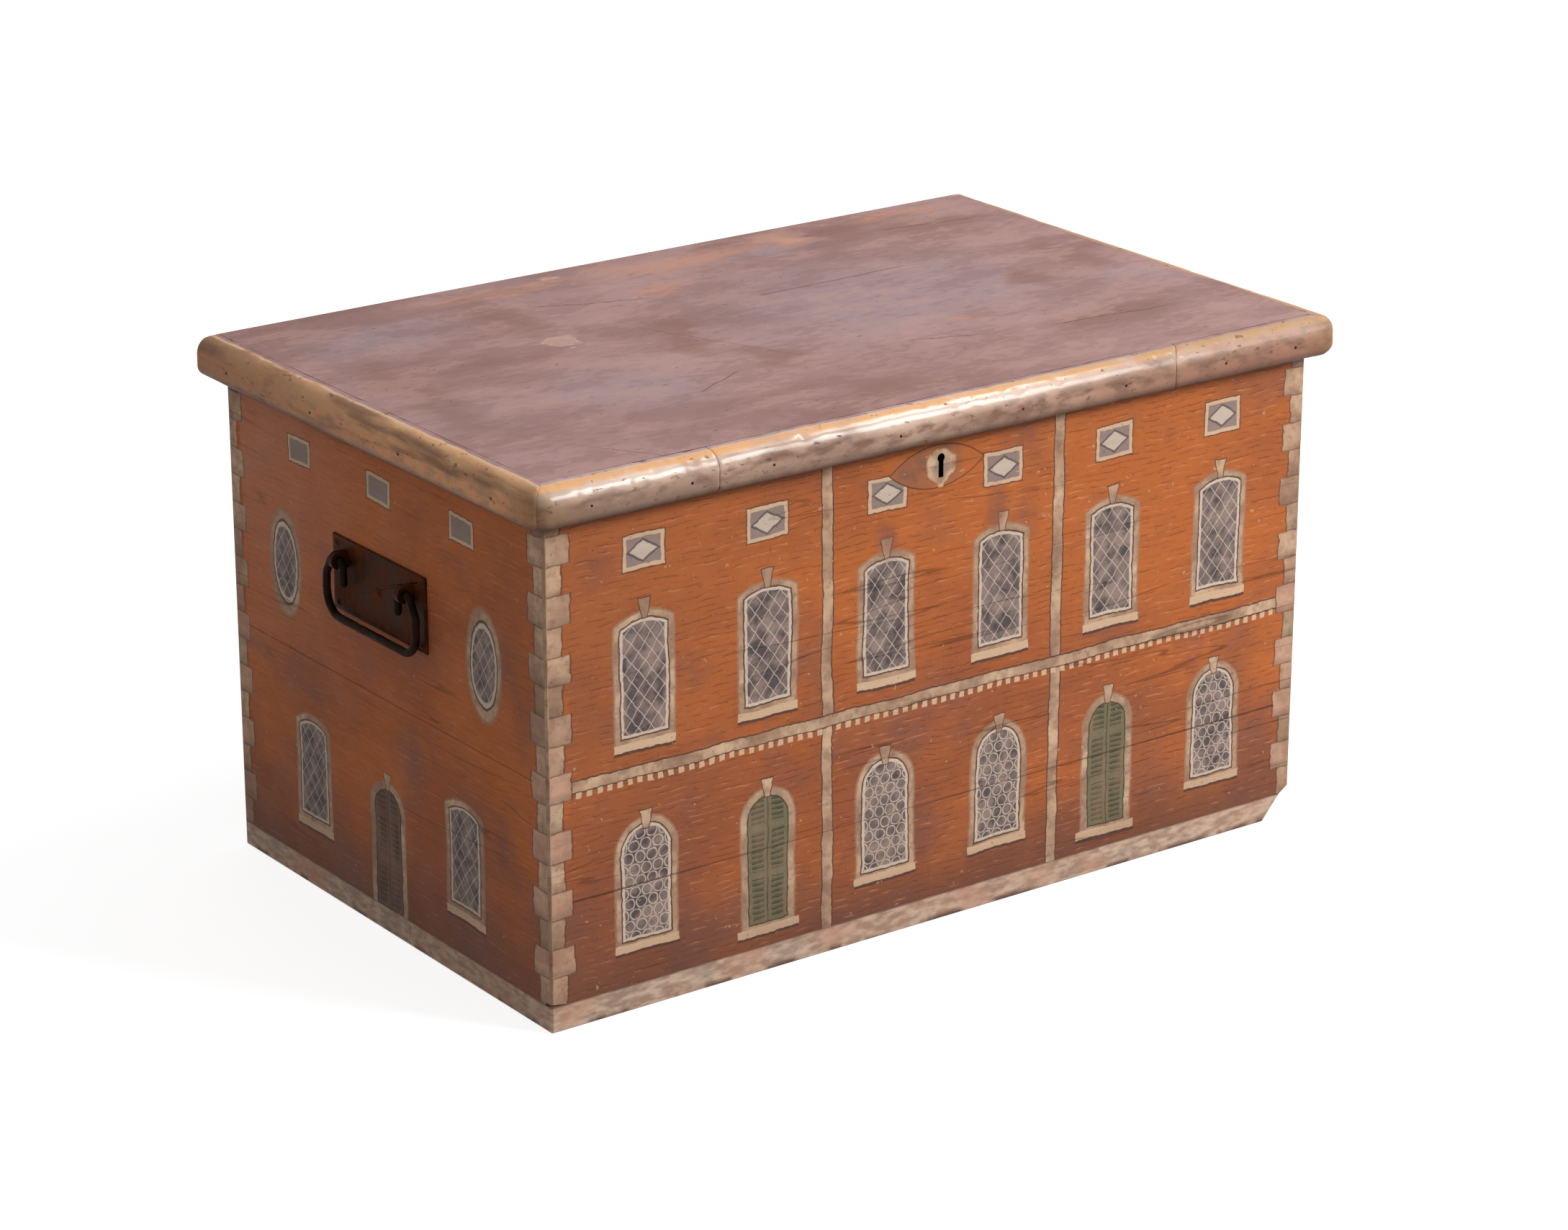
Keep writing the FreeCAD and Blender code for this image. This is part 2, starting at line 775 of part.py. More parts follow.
def hinge_leaf(side, on_lid):
    """A flat leaf with its share of the knuckles: odd ones on the lid, even ones on the case."""
    x = side * (half_width - hinge_inset)
    start = x - hinge_length / 2
    inner = half_depth - hinge_leaf_reach
    rise = hinge_leaf_thickness if on_lid else -hinge_leaf_thickness
    low_z, high_z = sorted((case_top, case_top + rise))
    leaf = block(Vec(start, inner, low_z), Vec(start + hinge_length, hinge_axis_y, high_z))
    knuckle_length = hinge_length / hinge_knuckle_count
    knuckles = []
    rooms = []
    for index in range(hinge_knuckle_count):
        near = Vec(start + index * knuckle_length, hinge_axis_y, case_top)
        far = near + X_AXIS * knuckle_length
        gap = X_AXIS * (hinge_side_gap / 2)
        if (index % 2 == 1) == on_lid:
            knuckles.append(rod(hinge_knuckle_radius, near + gap, far - gap))
        else:
            rooms.append(rod(hinge_knuckle_radius + hinge_turn_clearance, near - gap, far + gap))
    bore_start = Vec(start - overrun, hinge_axis_y, case_top)
    bore_end = Vec(start + hinge_length + overrun, hinge_axis_y, case_top)
    bore = rod(hinge_pin_radius + hinge_pin_clearance, bore_start, bore_end)
    screws = hinge_screws(side, on_lid)
    return joined([leaf.cut(rooms)] + knuckles).cut([bore] + screws)


def hinge_pin(side):
    """The pin that the knuckles turn on."""
    start = Vec(side * (half_width - hinge_inset) - hinge_length / 2, hinge_axis_y, case_top)
    return rod(hinge_pin_radius, start, start + X_AXIS * hinge_length)


# Lock


def lock_plate():
    """The flat plate of the lock, screwed to the inside of the front."""
    half = lock_plate_width / 2
    low = Vec(keyhole_offset - half, front_inside, lock_top - lock_plate_height)
    plate = block(low, Vec(keyhole_offset + half, lock_inner_face, lock_top))
    return plate.cut([keyhole(front_inside - overrun, lock_inner_face + overrun)] + lock_screws())


def staple_places():
    """The middle of each staple along X."""
    return [keyhole_offset - staple_spacing / 2, keyhole_offset + staple_spacing / 2]


def lock_cover():
    """The box that closes the works, open to the plate, with a slot for each staple in its top."""
    half = lock_cover_width / 2
    wall = lock_cover_wall
    back = lock_inner_face + lock_cover_depth
    low = Vec(keyhole_offset - half, lock_inner_face, lock_top - lock_cover_height)
    shell = block(low, Vec(keyhole_offset + half, back, lock_top))
    room_low = Vec(low.x + wall, lock_inner_face - overrun, low.z + wall)
    room = block(room_low, Vec(keyhole_offset + half - wall, back - wall, lock_top - wall))
    cuts = [room]
    reach = staple_thickness / 2 + staple_slot_clearance
    for x in staple_places():
        slot_low = Vec(x - reach, lock_inner_face - overrun, lock_top - wall - overrun)
        cuts.append(block(slot_low, Vec(x + reach, back - wall, lock_top + overrun)))
    return shell.cut(cuts)


def guide_places():
    """The middle of each stud that the bolt slides on."""
    middle = (bar_top + bar_bottom) / 2
    return [(keyhole_offset - guide_stud_left, middle), (keyhole_offset + guide_stud_right, middle)]


def lock_bolt():
    """A bar with two hooks that slide through the staples, slotted for its studs."""
    middle = keyhole_offset + bolt_bar_shift
    half = bolt_bar_length / 2
    bar = block(Vec(middle - half, bolt_front, bar_bottom), Vec(middle + half, bolt_back, bar_top))
    pieces = [bar]
    for x in staple_places():
        tip = x - staple_thickness / 2 - hook_tip_gap
        root = tip - hook_finger_length
        outline = [
            (root - hook_stem_width, bar_top),
            (root, bar_top),
            (root, finger_bottom),
            (tip, finger_bottom),
            (tip, finger_top),
            (root - hook_stem_width, finger_top),
        ]
        pieces.append(prism_along_y(outline, bolt_front, bolt_back))
    room = guide_stud_width / 2 + guide_stud_clearance
    cuts = []
    for x, z in guide_places():
        low = Vec(x - bolt_throw - room, bolt_front - overrun, z - room)
        cuts.append(block(low, Vec(x + room, bolt_back + overrun, z + room)))
    talon_half = talon_width / 2
    low = Vec(keyhole_offset - talon_half, bolt_front - overrun, bar_bottom - overrun)
    high = Vec(keyhole_offset + talon_half, bolt_back + overrun, bar_bottom + talon_depth)
    return joined(pieces).cut(cuts + [block(low, high)])


def guide_studs():
    """Two square studs on the plate that carry the bolt."""
    studs = []
    for x, z in guide_places():
        start = Vec(x, lock_inner_face, z)
        studs.append(square_bar(start, Y_AXIS, guide_stud_width, guide_stud_stand))
    return studs


def key_pin():
    """The pin on the cover that a hollow key turns on."""
    inside = lock_inner_face + lock_cover_depth - lock_cover_wall
    start = Vec(keyhole_offset, inside, keyhole_rise)
    outline = ring_of_points(key_pin_radius, start, Y_AXIS, key_pin_sides)
    return polygon_face(outline).extrude(Y_AXIS * -key_pin_length)


def lock_spring():
    """A bent leaf that leans on the side of the cover and bears up under the bolt."""
    wall_x = keyhole_offset - lock_cover_width / 2 + lock_cover_wall
    top = bar_bottom - spring_gap
    start = (bolt_front + bolt_back - spring_width) / 2
    foot = top - spring_rise
    bend_x = wall_x + spring_run * spring_bend_share
    bend_z = top - spring_rise * spring_bend_share
    outline = [
        (wall_x, foot),
        (bend_x, bend_z),
        (wall_x + spring_run, top),
        (wall_x + spring_run, top - spring_thickness),
        (bend_x + spring_thickness, bend_z - spring_thickness),
        (wall_x + spring_thickness, foot),
    ]
    return prism_along_y(outline, start, start + spring_width)


def link_plate():
    """The plate let into the lid, with its two square staples."""
    reach = link_plate_length / 2
    middle = (bolt_front + bolt_back) / 2
    low = Vec(keyhole_offset - reach, middle - link_plate_width / 2, case_top)
    top = case_top + link_plate_thickness
    pieces = [block(low, Vec(keyhole_offset + reach, middle + link_plate_width / 2, top))]
    eyes = []
    eye_half = bolt_thickness / 2 + staple_clearance
    outer_half = eye_half + staple_leg
    for x in staple_places():
        near = x - staple_thickness / 2
        far = x + staple_thickness / 2
        foot = Vec(near, middle - outer_half, staple_bottom)
        pieces.append(block(foot, Vec(far, middle + outer_half, case_top)))
        eye_low = Vec(near - overrun, middle - eye_half, staple_bottom + staple_bridge)
        eyes.append(block(eye_low, Vec(far + overrun, middle + eye_half, case_top)))
    return joined(pieces).cut(eyes + link_screws())


# Write every sub-part

for name, board in case_boards().items():
    save(name, [board])
save("keyhole_patch", [keyhole_patch()])
save("bottom_nails", bottom_nails())

lid_body = lid_block()
lid_front_board, lid_rear_board = lid_boards(lid_body)
save("lid_front_board", [lid_front_board])
save("lid_rear_board", [lid_rear_board])
for name, moulding in lid_mouldings(lid_body).items():
    save(name, [moulding])
save("lid_moulding_pins", edge_pins())

for side, name in ((-1, "left_hinge"), (1, "right_hinge")):
    save(name + "_case_leaf", [hinge_leaf(side, False)])
    save(name + "_lid_leaf", [hinge_leaf(side, True)])
    save(name + "_pin", [hinge_pin(side)])
save("hinge_case_screws", hinge_screws(-1, False) + hinge_screws(1, False))
save("hinge_lid_screws", hinge_screws(-1, True) + hinge_screws(1, True))

save("lock_plate", [lock_plate()])
save("lock_cover", [lock_cover()])
save("lock_bolt", [lock_bolt()])
save("lock_guide_studs", guide_studs())
save("lock_key_pin", [key_pin()])
save("lock_spring", [lock_spring()])
save("lock_screws", lock_screws())
save("link_plate", [link_plate()])
save("link_plate_screws", link_screws())

for side, name in ((-1, "left_handle"), (1, "right_handle")):
    save(name + "_plate", turned([handle_plate()], side))
    save(name + "_posts", turned(handle_posts(), side))
    save(name + "_roves", turned(handle_roves(), side))
    save(name + "_nails", turned(handle_nails(), side))
    save(name + "_bail", turned([handle_bail()], side))
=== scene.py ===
# %% [markdown]
# A painted pine chest, seen from its left front corner. The boards and the works of the lock come
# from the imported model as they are. This lesson paints them, and builds what a hand has rounded
# or hammered as finer surfaces: the worn moulding round the lid and the forged iron.

# %% Load the model
import json
import math

import bmesh
import bpy
import numpy as np
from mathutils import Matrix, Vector

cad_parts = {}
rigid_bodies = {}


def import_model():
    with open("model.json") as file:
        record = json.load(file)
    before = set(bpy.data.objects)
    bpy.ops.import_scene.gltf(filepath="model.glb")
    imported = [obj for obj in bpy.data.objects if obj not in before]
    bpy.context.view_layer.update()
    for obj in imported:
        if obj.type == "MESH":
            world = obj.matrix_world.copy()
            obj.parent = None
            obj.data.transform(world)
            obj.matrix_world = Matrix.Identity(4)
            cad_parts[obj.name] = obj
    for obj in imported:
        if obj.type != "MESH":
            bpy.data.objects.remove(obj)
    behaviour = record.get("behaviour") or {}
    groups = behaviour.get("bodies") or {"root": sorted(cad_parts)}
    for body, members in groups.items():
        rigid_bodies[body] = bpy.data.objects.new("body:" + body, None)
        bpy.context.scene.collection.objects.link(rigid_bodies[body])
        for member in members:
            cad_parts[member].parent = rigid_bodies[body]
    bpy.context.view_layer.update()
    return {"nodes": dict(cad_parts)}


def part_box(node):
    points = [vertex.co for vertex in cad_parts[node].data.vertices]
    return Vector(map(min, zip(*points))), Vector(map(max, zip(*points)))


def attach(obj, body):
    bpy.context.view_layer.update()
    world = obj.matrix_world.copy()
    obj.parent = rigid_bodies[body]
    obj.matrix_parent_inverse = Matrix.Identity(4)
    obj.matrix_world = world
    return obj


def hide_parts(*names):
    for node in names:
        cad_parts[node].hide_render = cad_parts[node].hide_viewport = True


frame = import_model()
nodes = frame["nodes"]

# %% [markdown]
# Everything is placed from the model's own boxes, so the paint stays on the boards if the chest
# changes size. The case is the box of its walls and foot, without the lid that hangs over it.

# %% Places on the chest
MM = 0.001
HALF_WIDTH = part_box("right_end_upper_board")[1].x
HALF_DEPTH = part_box("back_upper_board")[1].y
FOOT_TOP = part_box("bottom_front_board")[1].z
CASE_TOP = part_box("front_upper_board")[1].z
LID_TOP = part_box("lid_front_board")[1].z
LID_HALF_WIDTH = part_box("lid_right_moulding")[1].x
LID_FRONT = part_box("lid_front_moulding_middle")[0].y
LID_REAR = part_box("lid_rear_board")[1].y
EDGE_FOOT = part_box("lid_front_moulding_middle")[0].z
print("Half width", round(HALF_WIDTH, 4), "half depth", round(HALF_DEPTH, 4))

# %% [markdown]
# Paint that wears, stains and wobbles is a sum over the surface, and sums read best as Python.
# One small class wraps a socket, and its operators add Math nodes.


# %% Sums on sockets
class Value:
    """A shader socket. Python sums on it add Math nodes."""

    def __init__(self, recipe, socket):
        self.recipe = recipe
        self.socket = socket

    def out(self, key):
        """Another output of the same node."""
        return Value(self.recipe, self.socket.node.outputs[key])

    def __add__(self, other):
        return self.recipe.math("ADD", self, other)

    def __radd__(self, other):
        return self.recipe.math("ADD", other, self)

    def __sub__(self, other):
        return self.recipe.math("SUBTRACT", self, other)

    def __rsub__(self, other):
        return self.recipe.math("SUBTRACT", other, self)

    def __mul__(self, other):
        return self.recipe.math("MULTIPLY", self, other)

    def __rmul__(self, other):
        return self.recipe.math("MULTIPLY", other, self)

    def __truediv__(self, other):
        return self.recipe.math("DIVIDE", self, other)

    def __mod__(self, other):
        return self.recipe.math("FLOORED_MODULO", self, other)

    def __abs__(self):
        return self.recipe.math("ABSOLUTE", self)

    def __gt__(self, other):
        return self.recipe.math("GREATER_THAN", self, other)

    def __lt__(self, other):
        return self.recipe.math("LESS_THAN", self, other)

    def above(self, other):
        """The larger of two values."""
        return self.recipe.math("MAXIMUM", self, other)

    def below(self, other):
        """The smaller of two values."""
        return self.recipe.math("MINIMUM", self, other)

    def wave(self, length):
        """Distance to the nearest of the lines that repeat every length."""
        return self.recipe.math("PINGPONG", self, length / 2)

    def ramp(self, low, high):
        """0 up to low and 1 from high on, straight between them. Low may be the larger one."""
        slope = 1 / (high - low)
        settings = {"operation": "MULTIPLY_ADD", "use_clamp": True}
        return self.recipe.add("ShaderNodeMath", settings, {0: self, 1: slope, 2: -low * slope})

    def inside(self, blur=0.5 * MM):
        """1 where a distance is negative and 0 where it is positive, with a soft edge."""
        return self.ramp(blur / 2, -blur / 2)


# %% [markdown]
# The second class is a material in the making. It holds the node tree and the point's place, and
# one method adds any node: its type, its settings, then the values or links of its sockets.


# %% Materials as recipes
class Recipe:
    """A material under construction, which ends in one Principled shader."""

    def __init__(self, name):
        self.material = bpy.data.materials.new(name)
        self.material.use_nodes = True
        self.tree = self.material.node_tree
        self.shader = self.tree.nodes["Principled BSDF"]
        self.place = self.add("ShaderNodeTexCoord").out("Object")
        parts = self.add("ShaderNodeSeparateXYZ", {}, {0: self.place})
        self.x, self.y, self.z = parts.out(0), parts.out(1), parts.out(2)

    def add(self, kind, settings=None, sockets=None, out=0):
        """Adds a node, makes its settings, then fills or links its sockets."""
        node = self.tree.nodes.new(kind)
        for name, setting in (settings or {}).items():
            setattr(node, name, setting)
        for key, value in (sockets or {}).items():
            if isinstance(value, Value):
                self.tree.links.new(value.socket, node.inputs[key])
            else:
                node.inputs[key].default_value = value
        return Value(self, node.outputs[out])

    def math(self, operation, *values):
        return self.add("ShaderNodeMath", {"operation": operation}, dict(enumerate(values)))

    def length(self, across, up):
        """How far a point lies from the origin of two distances."""
        return self.math("SQRT", across * across + up * up)

    def shifted(self, stretch, seed):
        """The point's place, stretched along the axes and moved to a part of the noise of its own."""
        sockets = {"Vector": self.place, "Location": (seed, seed, seed), "Scale": stretch}
        return self.add("ShaderNodeMapping", {}, sockets)

    def noise(self, scale, detail=2.0, stretch=(1, 1, 1), seed=0.0, out=0):
        """Cloudy noise, about 1 / scale metres across, stretched along the axes."""
        sockets = {"Vector": self.shifted(stretch, seed), "Scale": scale, "Detail": detail}
        return self.add("ShaderNodeTexNoise", {}, sockets, out)

    def mix(self, share, first, second):
        """A colour that goes from the first to the second as the share goes from 0 to 1."""
        return self.add("ShaderNodeMix", {"data_type": "RGBA"}, {0: share, 6: first, 7: second}, 2)

    def shade(self, colour, share):
        """A colour times a share that varies: 1 leaves it, and 0 makes it black."""
        grey = self.add("ShaderNodeCombineXYZ", {}, {0: share, 1: share, 2: share})
        settings = {"data_type": "RGBA", "blend_type": "MULTIPLY"}
        return self.add("ShaderNodeMix", settings, {0: 1.0, 6: colour, 7: grey}, 2)

    def finish(self, colour, roughness, height=None, depth=0.4 * MM, **fixed):
        """Feeds the shader: what varies is linked, and the rest is set on its own sockets."""
        sockets = {"Base Color": colour, "Roughness": roughness}
        sockets.update({name.replace("_", " "): value for name, value in fixed.items()})
        if height is not None:
            bump = {"Height": height, "Distance": depth, "Strength": 1.0}
            sockets["Normal"] = self.add("ShaderNodeBump", {}, bump)
        for name, value in sockets.items():
            if isinstance(value, Value):
                self.tree.links.new(value.socket, self.shader.inputs[name])
            else:
                self.shader.inputs[name].default_value = value
        print(self.material.name, "has", len(self.tree.nodes), "nodes")
        return self.material


# %% [markdown]
# Colours are written as they look on a screen, from 0 to 255, and turned into the linear light
# that a shader works in. Old house paint has little gloss, so the walls reflect less than
# varnished wood does.


# %% Colours
def paint(red, green, blue):
    """Each channel c becomes (c / 255) to the power 2.2, near enough to linear light."""
    return tuple((channel / 255) ** 2.2 for channel in (red, green, blue)) + (1.0,)


MATT = {"Specular_IOR_Level": 0.1}
BRICK_BRIGHT = paint(176, 99, 55)
BRICK_DEEP = paint(148, 85, 56)
BRICK_MAUVE = paint(126, 82, 69)
# Painted shade for the brick: near the floor, and towards the front's left end.
BRICK_SHADE = paint(104, 74, 64)
BRICK_LINE = paint(96, 50, 34)
BRICK_PALE = paint(216, 150, 106)
STONE = paint(202, 168, 138)
STONE_SHADE = paint(156, 122, 100)
STONE_LINE = paint(90, 64, 54)
GLASS_DARK = paint(84, 75, 76)
GLASS_PALE = paint(142, 122, 114)
GLAZING_BAR = paint(200, 180, 162)
SHUTTER_GREEN = paint(113, 105, 82)
SHUTTER_GREEN_DARK = paint(66, 67, 52)
SHUTTER_BROWN = paint(98, 74, 60)
SHUTTER_BROWN_DARK = paint(56, 42, 36)
# Dirt and dark joints, and painted shade along the foot of the moulding.
GRIME_AND_SHADE = paint(72, 50, 42)
PINE = paint(198, 156, 106)
PINE_DARK = paint(156, 110, 68)
PINE_GREY = paint(150, 130, 108)

# %% [markdown]
# Inside the chest and under it the boards are bare pine: pale early wood and darker late wood in
# long lines. A board cut along the trunk shows its rings as a slow wave of noise, stretched
# along the grain, so a sine of that noise gives the lines.


# %% Bare pine
def bare_pine(recipe, stretch):
    """Stripes: the sine of a slow stretched noise, plus a finer one, from 0 to 1."""
    slow = recipe.noise(6, 2, stretch, 3)
    fine = recipe.noise(40, 3, stretch, 9)
    rings = recipe.math("SINE", slow * 60 + fine * 4) * 0.5 + 0.5
    colour = recipe.mix(rings * 0.5, PINE, PINE_DARK)
    colour = recipe.mix(recipe.noise(9, 2, seed=5).ramp(0.45, 0.75) * 0.5, colour, PINE_GREY)
    return recipe.shade(colour, fine * 0.3 + 0.84), rings * 0.3 + fine * 0.7


# %% [markdown]
# The walls are painted to look like brickwork. By hand, a line never runs quite true, so places
# along and up the wall are first shifted a little by noise. Each course is a row of short level
# dashes, dark ones with pale ones under them, over a ground that goes from orange to red brown.
# Painted light makes that ground lighter higher up, and painted shade dulls it to a dusky brown
# near the floor. Noise that starts anew in every row breaks the dashes, as a painter lifts the
# brush.


# %% A hand that isn't quite steady
def hand_drawn(recipe, along, up):
    """Places along and up a wall, each shifted by slow noise of 1 mm and quick noise of 0.5 mm."""
    slow = recipe.add("ShaderNodeSeparateXYZ", {}, {0: recipe.noise(22, 1, seed=1, out=1)})
    quick = recipe.add("ShaderNodeSeparateXYZ", {}, {0: recipe.noise(170, 1, seed=2, out=1)})
    along = along + (slow.out(0) - 0.5) * (5 * MM) + (quick.out(0) - 0.5) * (2 * MM)
    up = up + (slow.out(2) - 0.5) * (5 * MM) + (quick.out(2) - 0.5) * (2 * MM)
    return along, up


# %% Brickwork
COURSE = 5.4 * MM
BRICK_LENGTH = 14 * MM


def dashes(recipe, along, row, seed):
    """Noise about 16 mm long that has a sequence of its own in every row."""
    place = recipe.add("ShaderNodeCombineXYZ", {}, {0: along * 60, 1: row * 0.73, 2: seed})
    return recipe.add("ShaderNodeTexNoise", {}, {"Vector": place, "Scale": 1.0, "Detail": 1.0})


def brickwork(recipe, along, up, drawn=1.0):
    """Two grounds in clouds, painted light high up, mauve stains, painted shade low down, then dark and pale
    dashes.
    """
    # Painted light: the ground is lighter higher up.
    high = up.ramp(20 * MM, 330 * MM)
    ground = recipe.noise(7, 4, (1, 1, 1.5), 4) + high * 0.18
    colour = recipe.mix(ground.ramp(0.44, 0.7), BRICK_DEEP, BRICK_BRIGHT)
    stain = recipe.noise(13, 4, seed=6) - high * 0.16
    colour = recipe.mix(stain.ramp(0.42, 0.62) * 0.75, colour, BRICK_MAUVE)
    # Painted shade: the ground darkens to a dusky brown near the floor.
    colour = recipe.mix(up.ramp(100 * MM, FOOT_TOP) * 0.6, colour, BRICK_SHADE)
    level = up + (recipe.noise(26, 2, (0.6, 0.6, 1), 5) - 0.5) * (9 * MM)
    row = recipe.math("FLOOR", level / COURSE)
    over = level % COURSE - COURSE / 2
    patches = recipe.noise(11, 3, (1, 1, 1.4), 8)
    dark = dashes(recipe, along, row, 7.0) + patches * 0.4
    joint = (along + row * (BRICK_LENGTH / 2)).wave(BRICK_LENGTH) - 0.3 * MM
    stroke = (abs(over) - 0.45 * MM).inside(0.9 * MM).above(joint.inside(0.8 * MM) * 0.4)
    colour = recipe.mix(stroke * dark.ramp(0.66, 0.82) * (0.58 * drawn), colour, BRICK_LINE)
    pale = dashes(recipe, along, row, 17.0) - patches * 0.5
    stroke = (abs(over + 1.4 * MM) - 0.5 * MM).inside(1.0 * MM)
    return recipe.mix(stroke * pale.ramp(0.28, 0.46) * (0.42 * drawn), colour, BRICK_PALE)


# %% [markdown]
# Corner stones are an old builder's habit: blocks that reach in long and short by turns. They
# are drawn by their distance from the corner, with a dark line below and beside each, and the
# two painted faces of a corner share them.


# %% Corner stones
BLOCK_HEIGHT = 25.2 * MM
BLOCK_SHORT = 15 * MM
BLOCK_LONG = 23 * MM


def stone(recipe, seed):
    """Stone colour in warm clouds, with finer brown blots."""
    warm = recipe.mix(recipe.noise(24, 3, seed=seed).ramp(0.36, 0.62), STONE, STONE_SHADE)
    return recipe.mix(recipe.noise(130, 4, seed=seed + 1).ramp(0.46, 0.66) * 0.6, warm, paint(132, 104, 86))


def corner_stones(recipe, colour, along, up, half_length):
    """Blocks by the corner, long where the course number is odd, each with a shaded edge."""
    from_corner = half_length - abs(along)
    row = recipe.math("FLOOR", (up - FOOT_TOP) / BLOCK_HEIGHT)
    ragged = (recipe.noise(90, 3, seed=12) - 0.5) * (5 * MM)
    edge = from_corner - ((row % 2) * (BLOCK_LONG - BLOCK_SHORT) + BLOCK_SHORT) + ragged
    joint = (up - FOOT_TOP).wave(BLOCK_HEIGHT) - 0.5 * MM
    colour = recipe.mix((edge - 1.3 * MM).inside(1 * MM) * 0.8, colour, STONE_LINE)
    lower = ((up - FOOT_TOP) % BLOCK_HEIGHT).ramp(9 * MM, 1 * MM)
    own = dashes(recipe, along * 0, row, 31.0)
    block = recipe.mix(own.ramp(0.46, 0.6) * 0.6, stone(recipe, 11), paint(188, 140, 118))
    block = recipe.mix(own.ramp(0.46, 0.34) * 0.6, block, paint(142, 130, 106))
    block = recipe.shade(block, 1 - lower * 0.28)
    block = recipe.mix(joint.inside(1.1 * MM) * 0.8, block, STONE_LINE)
    return recipe.mix(edge.inside(0.8 * MM), colour, block)


# %% [markdown]
# Openings are outlines first. Each outline is a distance, negative inside and positive outside,
# so a surround, a shadow line and a pane are the same outline grown or shrunk by some
# millimetres. Heads are round arches, flat arches or ovals.


# %% Outlines
def arch(recipe, across, up, half_width, foot, spring):
    """A half circle on straight sides: distance from the centre line above the spring, less half width."""
    over = (up - spring).above(0.0)
    return (recipe.length(across, over) - half_width).above(foot - up)


def flat_arch(recipe, across, up, half_width, foot, spring, rise):
    """Straight sides under a shallow arc, whose radius is (half_width^2 + rise^2) / (2 rise)."""
    radius = (half_width**2 + rise**2) / (2 * rise)
    over = (up - (spring + rise - radius)).above(0.0)
    round_top = recipe.length(across, over) - radius
    return (abs(across) - half_width).above(foot - up).above(round_top)


def oval(recipe, across, up, half_width, half_height):
    """How far outside an ellipse a point lies, measured along its width."""
    return recipe.length(across, up * (half_width / half_height)) - half_width


def panel(across, up, half_width, half_height):
    """A rectangle round the origin: the larger of the two distances past its sides."""
    return (abs(across) - half_width).above(abs(up) - half_height)


# %% [markdown]
# Leaded lights come in two patterns that glaziers have always used: lozenges, from two sets of
# slanting bars, and roundels, which are rings set in staggered rows.


# %% Leaded lights
def lozenges(across, up, size):
    """Distance to the nearest of two sets of slanting bars."""
    return (across * 1.25 + up).wave(size).below((across * 1.25 - up).wave(size)) - 0.5 * MM


def roundels(recipe, across, up, size):
    """Distance to rings in rows, where every other row is moved along by half a ring."""
    rise = size * 0.87
    row = recipe.math("FLOOR", up / rise)
    beside = (across + (row % 2) * (size / 2) + size / 2) % size - size / 2
    above = up % rise - rise / 2
    return abs(recipe.length(beside, above) - size * 0.42) - 0.5 * MM


def glazed(recipe, colour, edge, bars):
    """A stone surround, a dark line, a pale frame, dim panes that differ, and pale bars."""
    colour = recipe.mix((edge - 6.6 * MM).inside(1.4 * MM) * 0.8, colour, STONE_SHADE)
    colour = recipe.mix((edge - 5.0 * MM).inside(1 * MM), colour, stone(recipe, 41))
    colour = recipe.mix((edge - 0.5 * MM).inside(0.8 * MM), colour, STONE_LINE)
    colour = recipe.mix((edge + 0.9 * MM).inside(), colour, GLAZING_BAR)
    panes = recipe.noise(75, 2, seed=13).ramp(0.34, 0.64)
    glass = recipe.mix(panes, GLASS_DARK, GLASS_PALE)
    glass = recipe.mix(bars.inside(0.7 * MM) * 0.9, glass, GLAZING_BAR)
    return recipe.mix((edge + 3.4 * MM).inside(0.7 * MM), colour, glass)


# %% Ledges, keystones and shutters
def ledge(recipe, colour, across, below, half_width):
    """A sill under an opening, with its shadow: below is the height over the ledge's top."""
    colour = recipe.mix(panel(across, below + 5 * MM, half_width, 4.8 * MM).inside(1 * MM), colour, STONE_LINE)
    return recipe.mix(panel(across, below + 3.6 * MM, half_width, 3.6 * MM).inside(), colour, STONE)


def keystone(recipe, colour, across, up):
    """A tapering stone over an arch, wider at its top."""
    edge = (abs(across) - up * 0.22 - 4 * MM).above(abs(up) - 8 * MM)
    colour = recipe.mix((edge - 0.9 * MM).inside(0.8 * MM), colour, STONE_LINE)
    return recipe.mix(edge.inside(), colour, stone(recipe, 43))


def shuttered(recipe, colour, edge, across, up, leaf, dark):
    """A stone surround round two leaves of slats: each slat is pale on top and dark below."""
    colour = recipe.mix((edge - 7.6 * MM).inside(1.4 * MM) * 0.8, colour, STONE_SHADE)
    colour = recipe.mix((edge - 6 * MM).inside(1 * MM), colour, stone(recipe, 45))
    colour = recipe.mix(edge.inside(0.8 * MM), colour, dark)
    slats = recipe.mix((up % (5 * MM)).ramp(4.2 * MM, 0.6 * MM), leaf, dark)
    beside = abs(across) - 10 * MM
    frame_of_leaf = panel(beside, (up % (44 * MM)) - 22 * MM, 6.4 * MM, 19 * MM)
    wood = recipe.mix(frame_of_leaf.inside(), leaf, slats)
    wood = recipe.mix((abs(across) - 0.6 * MM).inside(0.8 * MM), wood, dark)
    worn = recipe.noise(60, 3, (1, 1, 0.3), 14).ramp(0.4, 0.8)
    wood = recipe.mix(worn * 0.5, wood, STONE_SHADE)
    return recipe.mix((edge + 1.2 * MM).inside(), colour, wood)
